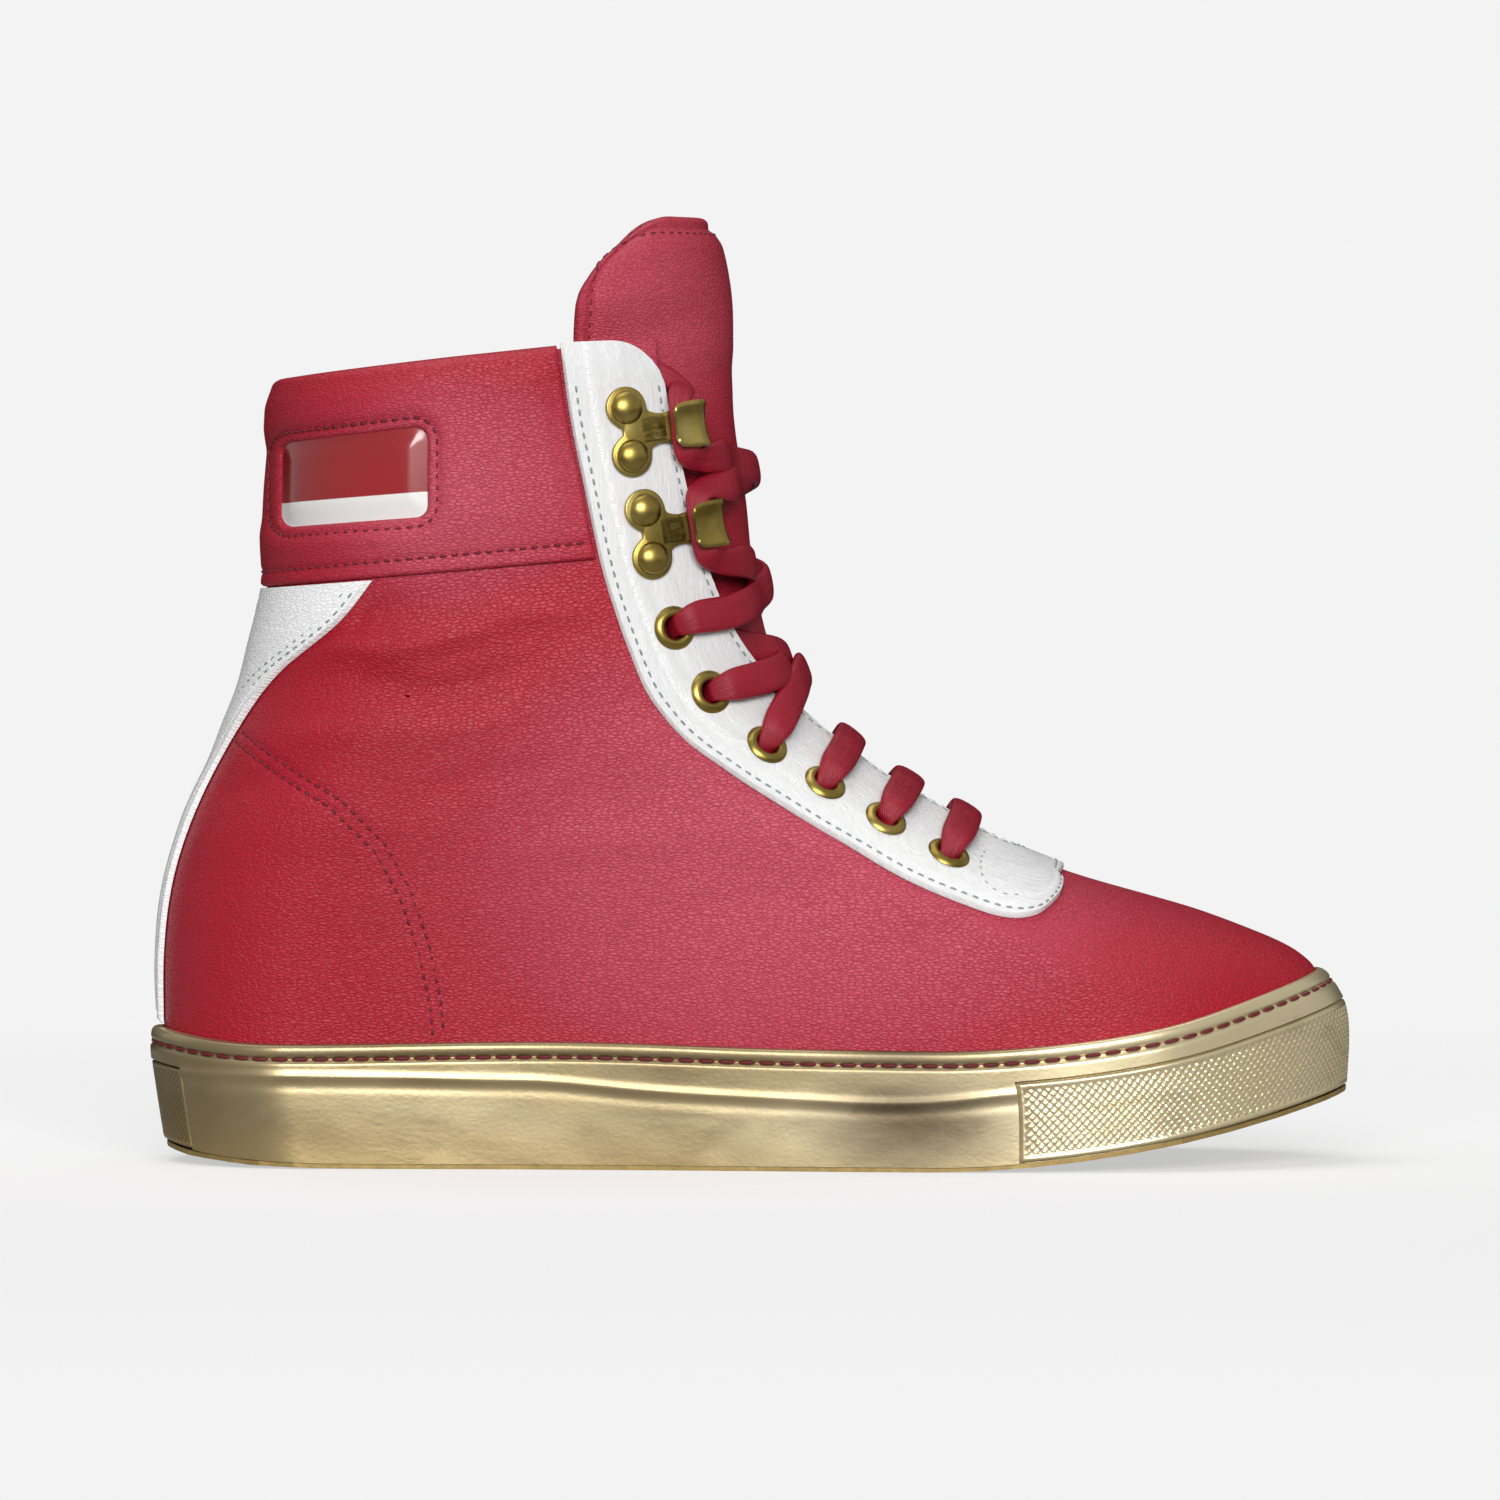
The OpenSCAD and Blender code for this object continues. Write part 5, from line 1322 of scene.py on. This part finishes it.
def lace_route():
    def hook_side(s):
        return skin(s, EYELETS[0][1] + 12, 0.0)

    def inside_up(s, k):
        return skin(s * mix(EYELETS[k][0], 1, 0.75), EYELETS[k][1] - 5, 0.0)
    first = (tail_run(-1)[::-1] + slot_run(0, -1)[::-1] + hooks_strand(-1, True)
             + slot_run(1, 1)[::-1] + hook_strand(1, True)
             + through(-1, 0, hook_side(1), eyelet_pair(-1, 0, 1, 0.2))
             + strand(-1, EYELETS[0], LACE_UNDER, 0.2, EYELETS[1], LACE_OVER, REACH_OVER, True, OVER_TS)
             + through(1, 1, eyelet_pair(1, 1, 0, 0.2), eyelet_at(1, 2, 0.0)))
    s = 1
    for k in (2, 3, 4, 5):
        first += through(s, k, bar_mid(k), eyelet_at(s, k - 1, 0.0))[::-1] + bar(s, k)
        if k < 5:
            first += through(-s, k, bar_mid(k), eyelet_at(-s, k + 1, 0.0))
        s = -s
    second = (through(1, 5, bar_mid(5), inside_up(1, 4))
              + inside_run(EYELETS[5], [1, 84], [0.5, 0.65, 0.8, 0.92])
              + [on_skin(1, z, TONGUE_MID + LACE_T / 2 + 0.4) for z in (84, 90, 96)]
              + inside_run([-1, 98], [-EYELETS[1][0], EYELETS[1][1]], [0.14, 0.28, 0.42, 0.56, 0.7, 0.82])
              + through(-1, 1, eyelet_pair(-1, 1, 0, 0.2), inside_up(-1, 1))[::-1]
              + strand(-1, EYELETS[1], LACE_OVER, REACH_OVER, EYELETS[0], LACE_UNDER, 0.2, False, OVER_TS)
              + through(1, 0, hook_side(-1), eyelet_pair(1, 0, 1, 0.2))[::-1]
              + hook_strand(-1, False)[::-1] + slot_run(1, -1)
              + hooks_strand(1, False)[::-1] + slot_run(0, 1) + tail_run(1))
    return first + second


def outward(at, run, side):
    """1 where the lace's upper face looks out of the boot, -1 where it looks in."""
    up = np.cross(run, side)
    return np.sign(np.sum(up * (at - np.array([-40, 0, 60])), 1))


def make_lace():
    route = lace_route()
    at = np.array([p[0] for p in route], float)
    run = unit(unit(np.gradient(at, axis=0)))
    side = []
    for p, r in zip(route, run):
        c = np.cross(p[2], r) if p[1] == 0 else p[2] - (p[2] @ r) * r
        c = unit(c)
        side.append(-c if side and c @ side[-1] < 0 else c)
    table = np.concatenate([at, np.array(side), np.array([p[3:] for p in route], float)], 1)
    # smooth resample along the length
    dist = np.concatenate([[0], np.cumsum(np.maximum(np.linalg.norm(np.diff(at, axis=0), axis=1), 0.05))])
    keep = np.concatenate([[True], np.diff(dist) > 0.6])
    dist, table = dist[keep], table[keep]
    fine = np.arange(0, dist[-1], 0.8)
    cols = [smooth(np.stack([dist, table[:, k]], 1))(fine) for k in range(table.shape[1])]
    fine_t = np.stack(cols, -1)
    at, side = fine_t[:, :3], unit(fine_t[:, 3:6])
    width, thick = np.clip(fine_t[:, 6], 3.8, 8), np.clip(fine_t[:, 7], 1.3, 2.7)
    bell = np.exp(-0.5 * (np.arange(-9, 10) / 3.2) ** 2)
    bell /= bell.sum()
    def soften(v):
        return np.convolve(np.pad(v, 9, "edge"), bell, "valid")
    at = np.stack([soften(at[:, k]) for k in range(3)], -1)
    side = unit(np.stack([soften(side[:, k]) for k in range(3)], -1))
    width, thick = soften(width), soften(thick)
    run = unit(np.gradient(at, axis=0))
    side = unit(side - np.sum(side * run, 1, keepdims=True) * run)
    up = np.cross(run, side)
    m = 20
    w = np.linspace(0, 2 * np.pi, m, endpoint=False)
    # flat padded section with a soft crown and thin selvedges
    cx = np.sign(np.cos(w)) * np.abs(np.cos(w)) ** 0.8
    cy = np.sign(np.sin(w)) * np.abs(np.sin(w)) ** 0.75
    thick = thick * mix(1.0, 1.95, ease((width - 5.5) / 2))
    width = width * 1.06
    at = at + np.cross(run, side) * ((thick - 1.5) * 0.28 * outward(at, run, side))[:, None]
    crimp = 1 + 0.04 * np.sin(fine * 2.2) + 0.05 * np.sin(fine * 0.61)
    ring = (at[:, None] + side[:, None] * (width[:, None, None] / 2) * cx[None, :, None]
            + up[:, None] * (thick * crimp / 2)[:, None, None] * cy[None, :, None])
    n = len(ring)
    faces = [(i * m + k, i * m + (k + 1) % m, (i + 1) * m + (k + 1) % m, (i + 1) * m + k)
             for i in range(n - 1) for k in range(m)]
    faces += [tuple(range(m))[::-1], tuple((n - 1) * m + k for k in range(m))]
    uv = np.stack([np.repeat((cx * 4)[None], n, 0), np.repeat(fine[:, None], m, 1)], -1)
    lace = add("flat_lace", ring.reshape(-1, 3), faces, finish["lace"], uv.reshape(-1, 2), 60,
               recalc=True)
    return settle(lace, "red_lace", "lace")


# ------------------------------------------------------------------ the sole

def wall_place(a, v):
    """Height of the sidewall at place a, v from 0 at the ground to 1 at the rim."""
    x = wall_x(a)
    return mix(heel_lift(x), rim_z(x), v)


RIDGE = smooth([(-150, 23), (-94, 22.5), (-68, 22), (-50, 21.6), (-25, 19.4), (12, 17.5), (35, 16.75),
                (63, 18.2), (150, 18.5)])


def tri(x):
    return np.abs((x % 1) - 0.5) * 2


def make_sidewall():
    cols = 601
    a = np.linspace(-1, 1, cols)
    v = np.concatenate([np.linspace(0.04, 0.8, 44), np.linspace(0.8, 0.94, 26)[1:],
                        np.linspace(0.94, 1.0, 10)[1:]])
    aa, vv = np.meshgrid(a, v)
    z = wall_place(aa, vv)
    x = wall_x(aa)
    height = rim_z(x) - heel_lift(x)
    down = (1 - vv) * height
    # lip bead, thread groove and the ridge line half way up
    d = -0.9 * np.exp(-((down - 3.6) / 0.75) ** 2)
    d = d + 0.15 - 1.0 * (1 - rounded(down, 1.6))
    ridge = z - RIDGE(x)
    in_patch = (x > BUMPER_X) | (x < PATCH_X)
    plain = ~in_patch
    d = d + plain * (0.34 * np.exp(-((ridge - 0.2) / 0.95) ** 2)
                     - 0.12 * np.exp(-((ridge + 2.4) / 1.1) ** 2))
    crumple = (0.025 * np.sin(x / 6.3 + z / 4.2) * np.sin(z / 5.1 + x / 29)
               + 0.012 * np.sin(x / 2.3 - z / 1.7) * ease(np.sin(x / 31 + 1) + 0.3))
    d = d + crumple * plain * ease(down / 6 - 0.7)
    d = d - np.where(in_patch & (vv < 0.72), 1.35, 0)
    p = wall_base(aa, z)
    n = wall_normal(aa, z)
    outer = p + d[..., None] * n
    inner = np.where((vv < 0.4)[..., None], p - WALL_T * n, skin(aa, np.maximum(z, 10), 0.35))
    u, _ = lengths(p)
    return settle(shell("foil_sidewall", outer, inner, finish["gold"], None, np.ones(len(v), bool),
                        np.stack([u, z], -1), 40), "gold_sole", "sidewall")


def patch(name, lo, hi, cols, rows, pattern, node):
    a = np.linspace(lo, hi, cols)
    v = np.linspace(0.05, 0.71, rows)
    aa, vv = np.meshgrid(a, v)
    z = wall_place(aa, vv)
    p, n = wall_base(aa, z), wall_normal(aa, z)
    u, _ = lengths(p)
    height = lengths(p)[1]
    edge = np.minimum(np.minimum(u, u.max(1, keepdims=True) - u),
                      np.minimum(height, height.max(0, keepdims=True) - height))
    d = pattern(u, height, edge) - 0.5 * (1 - rounded(edge, 0.5))
    return settle(shell(name, p + d[..., None] * n, p - 1.15 * n, finish["gold"], None, None,
                        np.stack([u, z], -1), 60), "gold_sole", node)


def knurl(u, h, edge):
    q = 1.7
    cut = np.minimum(tri((u + h) / q / 1.25), tri((u - h) / q / 1.25))
    plain = ease((edge - 1.2) / 0.5)
    return -0.5 * (1 - ease(cut * 1.5)) * plain


def ribs(u, h, edge):
    return -0.55 * (1 - ease(tri((u * 0.8 + h) / 1.5) * 1.6)) * ease((edge - 0.8) / 0.4)


def make_sole():
    make_sidewall()
    lo = np.linspace(0.3, 1, 4000)
    a_toe = float(lo[np.argmax(wall_x(lo) > BUMPER_X)])
    patch("toe_bumper_knurled", a_toe, 2 - a_toe, 640, 52, knurl, "toe_bumper")
    lo = np.linspace(0, 0.5, 4000)
    a_heel = float(lo[np.argmax(wall_x(lo) > PATCH_X)])
    patch("heel_patch_ribbed", -a_heel, a_heel, 300, 70, ribs, "heel_patch")


# ------------------------------------------------------------------ repeated small things

def repeat_group():
    """Instances of one shape on points, turned and sized by the points' own values."""
    g = bpy.data.node_groups.new("repeat_on_points", "GeometryNodeTree")
    for name, kind, way in [("Points", "NodeSocketGeometry", "INPUT"),
                            ("Shape", "NodeSocketObject", "INPUT"),
                            ("Finish", "NodeSocketMaterial", "INPUT"),
                            ("Made", "NodeSocketGeometry", "OUTPUT")]:
        g.interface.new_socket(name=name, in_out=way, socket_type=kind)
    def node(kind, **settings):
        n = g.nodes.new(kind)
        for k, v in settings.items():
            setattr(n, k, v)
        return n
    given, made = node("NodeGroupInput"), node("NodeGroupOutput")
    info, put = node("GeometryNodeObjectInfo"), node("GeometryNodeInstanceOnPoints")
    turn = node("GeometryNodeInputNamedAttribute", data_type="FLOAT_VECTOR")
    size = node("GeometryNodeInputNamedAttribute", data_type="FLOAT_VECTOR")
    turn.inputs["Name"].default_value, size.inputs["Name"].default_value = "turn", "size"
    euler = node("FunctionNodeEulerToRotation")
    real, paint = node("GeometryNodeRealizeInstances"), node("GeometryNodeSetMaterial")
    for a, b in [(given.outputs["Points"], put.inputs["Points"]), (given.outputs["Shape"], info.inputs[0]),
                 (info.outputs["Geometry"], put.inputs["Instance"]), (turn.outputs[0], euler.inputs[0]),
                 (euler.outputs[0], put.inputs["Rotation"]), (size.outputs[0], put.inputs["Scale"]),
                 (put.outputs[0], real.inputs[0]), (real.outputs[0], paint.inputs[0]),
                 (given.outputs["Finish"], paint.inputs["Material"]), (paint.outputs[0], made.inputs[0])]:
        g.links.new(a, b)
    return g


REPEAT = repeat_group()


def repeat(name, shape, at, frames, sizes, material):
    """A plain mesh of many copies of a shape."""
    mesh = bpy.data.meshes.new(name)
    mesh.from_pydata((np.asarray(at) * MM).tolist(), [], [])
    turns = [Matrix(np.asarray(f).T.tolist()).to_euler() for f in frames]
    for key, values in (("turn", turns), ("size", sizes)):
        layer = mesh.attributes.new(key, "FLOAT_VECTOR", "POINT")
        layer.data.foreach_set("vector", np.array(values, float).ravel())
    obj = bpy.data.objects.new(name, mesh)
    bpy.context.collection.objects.link(obj)
    mod = obj.modifiers.new("repeat", "NODES")
    mod.node_group = REPEAT
    ids = {s.name: s.identifier for s in REPEAT.interface.items_tree if s.in_out == "INPUT"}
    mod[ids["Shape"]] = shape
    mod[ids["Finish"]] = material
    dg = bpy.context.evaluated_depsgraph_get()
    made = bpy.data.meshes.new_from_object(obj.evaluated_get(dg))
    obj.modifiers.remove(mod)
    obj.data = made
    made.name = name
    if not made.materials:
        made.materials.append(material)
    return obj


def capsule(length=2.0, r=0.32):
    """A stitch: a rounded bar along X that dips at both ends, in mm."""
    rows, m = 9, 8
    pts = []
    for i in range(rows):
        t = -1 + 2 * i / (rows - 1)
        rr = r * math.sqrt(max(1 - abs(t) ** 3.2, 0.02))
        dip = -r * 1.1 * abs(t) ** 3
        pts += [(t * length / 2, rr * math.cos(2 * math.pi * k / m), dip + rr * math.sin(2 * math.pi * k / m))
                for k in range(m)]
    faces = [(i * m + k, (i + 1) * m + k, (i + 1) * m + (k + 1) % m, i * m + (k + 1) % m)
             for i in range(rows - 1) for k in range(m)]
    faces += [tuple(range(m)), tuple((rows - 1) * m + k for k in range(m))[::-1]]
    obj = add("one_stitch", np.array(pts), faces, finish["thread"], recalc=True)
    return obj


def stitches(name, rows, material, slot_name, length=2.0, gap=0.7, r=0.32, body="boot"):
    """Rows of stitches. Each row is (points, normals) along a path, in mm."""
    shape = capsule(length, r)
    at, frames, sizes = [], [], []
    for p, n in rows:
        s = np.concatenate([[0], np.cumsum(np.linalg.norm(np.diff(p, axis=0), axis=1))])
        count = max(int(s[-1] // (length + gap)), 1)
        where = (np.arange(count) + 0.5) * s[-1] / count
        pos = np.stack([np.interp(where, s, p[:, k]) for k in range(3)], -1)
        ahead = np.stack([np.interp(where + 0.6, s, p[:, k]) for k in range(3)], -1)
        behind = np.stack([np.interp(where - 0.6, s, p[:, k]) for k in range(3)], -1)
        nn = unit(np.stack([np.interp(where, s, n[:, k]) for k in range(3)], -1))
        d = unit(ahead - behind)
        nn = unit(nn - np.sum(nn * d, 1, keepdims=True) * d)
        at.append(pos)
        frames += [np.stack([d[i], np.cross(nn[i], d[i]), nn[i]]) for i in range(count)]
        sizes += [(1, 1, 1)] * count
    obj = repeat(name, shape, np.concatenate(at), frames, sizes, material)
    obj.data.polygons.foreach_set("use_smooth", [True] * len(obj.data.polygons))
    bpy.data.objects.remove(shape)
    return settle(obj, slot_name, body=body)


def side_path(points, side, d, steps=160, curved=True):
    """Path on the leather from points of the side view, and its normals."""
    q = np.array(points, float)
    s = np.concatenate([[0], np.cumsum(np.linalg.norm(np.diff(q, axis=0), axis=1))])
    f = np.linspace(0, s[-1], steps)
    x, z = ((smooth(np.stack([s, q[:, k]], 1))(f) if curved and len(q) > 2 else np.interp(f, s, q[:, k]))
            for k in (0, 1))
    zn = level(x, z)
    a = side * ring_a(x, zn)
    if callable(d):
        d = d(a, zn)
    return skin(a, zn, d), normal_at(a, zn)


def ring_row(a, zn, d):
    return skin(a, zn, d), normal_at(a, zn)


def make_stitching():
    red, pale = [], []
    for side in (-1, 1):
        for line in (COUNTER, COUNTER_INNER):
            red.append(side_path(line, side, lambda a, zn: upper_offset(a, zn) + 0.12, curved=False))
        # round the window of the collar band
        loop = []
        for k in range(4):
            p0, p1, p2 = WINDOW[k - 1], WINDOW[k], WINDOW[(k + 1) % 4]
            e0, e1 = unit(p1 - p0), unit(p2 - p1)
            n0, n1 = np.array([e0[1], -e0[0]]), np.array([e1[1], -e1[0]])
            for f in np.linspace(0, 1, 6):
                loop.append(p1 + unit(mix(n0, n1, f)) * (WINDOW_R + 2.4))
        loop.append(loop[0])
        red.append(side_path(loop, side, TRIM_OUT + 0.25, curved=False))
    # two rows down each edge of the backstay
    zn = np.linspace(60, 140.5, 300)
    for inset in (2.4, 4.6):
        for side in (-1, 1):
            a = side * ring_a(backstay_front(zn) - inset, zn)
            ok = np.abs(a) > 0.03
            pale.append(ring_row(a[ok], zn[ok], TRIM_OUT - 0.05))
    # one row round the foot of the collar band
    band_row = np.full(700, BAND_Z + 3.6)
    along = np.linspace(-0.985, 0.985, 700)
    red.append(ring_row(rear_a(band_row, 0.7) * along, band_row, TRIM_OUT - 0.1))
    # eyestay: a row just inside each edge
    grid, t = stay_grid()
    a, z2 = grid[..., 0], grid[..., 1]
    p = skin(a, z2)
    u, _ = lengths(p)
    for edge in (0, 1):
        rows_a, rows_z = [], []
        for i in range(3, a.shape[0] - 3):
            want = 2.4 if edge == 0 else u[i, -1] - 2.4
            aw = np.unwrap(a[i] * np.pi) / np.pi
            rows_a.append(np.interp(want, u[i], aw))
            rows_z.append(np.interp(want, u[i], z2[i]))
        rows_a, rows_z = np.array(rows_a), np.array(rows_z)
        pale.append((skin(wrap(rows_a), rows_z, TRIM_OUT + 0.0), normal_at(wrap(rows_a), rows_z)))
    for side in (-1, 1):
        arc = [(64.75 + 8.5 * math.cos(w), 73.2 + 6.8 * math.sin(w)) for w in np.linspace(2.6, 4.9, 14)]
        pale.append(side_path(arc, side, TRIM_OUT - 0.02))
    stitches("red_stitching", red, finish["thread"], "red_thread", 2.0, 0.8, 0.36)
    stitches("pale_stitching", pale, finish["pale_thread"], "white_leather", 2.0, 0.9, 0.28)
    a = np.linspace(-1, 1, 1600)
    z = wall_place(a, 0.88)
    ring = (wall(a, z, -0.42), wall_normal(a, z))
    piece = stitches("sole_stitching", [ring], finish["thread"], "red_thread", 4.4, 0.6, 0.4)
    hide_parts("sidewall_thread")


make_tongue()
make_eyelets()
make_hooks()
make_lace()
make_sole()
make_stitching()


# ------------------------------------------------------------------ stage

def area(name, place, aim, size, power, tint=(1, 1, 1)):
    light = bpy.data.lights.new(name, "AREA")
    light.shape = "RECTANGLE"
    light.size, light.size_y = size
    light.energy = power
    light.color = tint
    obj = bpy.data.objects.new(name, light)
    bpy.context.collection.objects.link(obj)
    obj.location = place
    obj.rotation_euler = (Vector(aim) - Vector(place)).to_track_quat("-Z", "Y").to_euler()
    return obj


PAPER = 0.895
FLOOR_GLOW = 0.42


def make_stage():
    cols = 3
    sweep = np.linspace(0, np.pi / 2, 24)
    y = np.concatenate([np.linspace(-4, 3.4, 24), 3.4 + 1.2 * np.sin(sweep), np.full(4, 4.6)])
    z = np.concatenate([np.zeros(24), 1.2 - 1.2 * np.cos(sweep), np.linspace(1.6, 4, 4)])
    x = np.linspace(-5, 5, cols)
    pts = [(xx, yy, zz) for yy, zz in zip(y, z) for xx in x]
    faces = [(i * cols + j, i * cols + j + 1, (i + 1) * cols + j + 1, (i + 1) * cols + j)
             for i in range(len(y) - 1) for j in range(cols - 1)]
    mesh = bpy.data.meshes.new("floor_sweep")
    mesh.from_pydata(pts, [], faces)
    mesh.polygons.foreach_set("use_smooth", [True] * len(mesh.polygons))
    f = Finish("paper", (0.45, 0.45, 0.45), 1.0, Emission_Strength=1.0)
    f.shader.inputs["Specular IOR Level"].default_value = 0.0
    depth = f.node("ShaderNodeSeparateXYZ", {}, {0: f.place("Object")}, out=1)
    far = f.node("ShaderNodeMapRange", {"interpolation_type": "SMOOTHSTEP"},
                 {0: depth.math("ABSOLUTE", depth), 1: 0.13, 2: 0.7, 3: 0.0, 4: 1.0})
    seen = f.node("ShaderNodeLightPath")
    near = f.ramp(depth * 1.0 + 0.7, [(0.05, (FLOOR_GLOW,) * 3), (0.37, (FLOOR_GLOW + 0.05,) * 3),
                                      (0.57, (FLOOR_GLOW + 0.09,) * 3), (0.81, (FLOOR_GLOW + 0.145,) * 3)])
    glow = f.blend(far, near, (PAPER,) * 3 + (1,))
    f.feed(Base_Color=f.blend(far, (0.45, 0.45, 0.45, 1), (0.0, 0.0, 0.0, 1)),
           Emission_Color=f.blend(seen, (0, 0, 0, 1), glow))
    mesh.materials.append(f.material)
    floor = bpy.data.objects.new("floor_sweep", mesh)
    bpy.context.collection.objects.link(floor)

    world = bpy.data.worlds.new("studio")
    bpy.context.scene.world = world
    world.use_nodes = True
    tree = world.node_tree
    back = tree.nodes["Background"]
    path = tree.nodes.new("ShaderNodeLightPath")
    level_of = tree.nodes.new("ShaderNodeMapRange")
    seen = tree.nodes.new("ShaderNodeMath")
    seen.operation = "MULTIPLY_ADD"
    tree.links.new(path.outputs["Is Glossy Ray"], seen.inputs[0])
    tree.links.new(path.outputs["Is Camera Ray"], seen.inputs[2])
    seen.inputs[1].default_value = 0.45
    tree.links.new(seen.outputs[0], level_of.inputs[0])
    level_of.inputs[3].default_value, level_of.inputs[4].default_value = 0.2, PAPER
    tree.links.new(level_of.outputs[0], back.inputs["Strength"])
    back.inputs["Color"].default_value = (1, 1, 1, 1)

    area("front_soft", (0.1, -3.1, 1.05), (0, 0, 0.12), (1.9, 1.2), 104)
    area("top_soft", (-0.3, 0.1, 1.7), (0, 0, 0.1), (1.6, 1.2), 12)

    cam = bpy.data.cameras.new("camera")
    cam.lens, cam.sensor_width = 240, 36
    cam.clip_start = 0.01
    obj = bpy.data.objects.new("camera", cam)
    bpy.context.collection.objects.link(obj)
    aim = Vector((0.0, 0.0, 0.1025))
    turn = math.radians(1.3)
    far_off = 2.5
    obj.location = aim + Vector((0, -far_off * math.cos(turn), far_off * math.sin(turn)))
    obj.rotation_euler = (aim - obj.location).to_track_quat("-Z", "Y").to_euler()
    bpy.context.scene.camera = obj
    bpy.context.scene.view_settings.view_transform = "Standard"


make_stage()
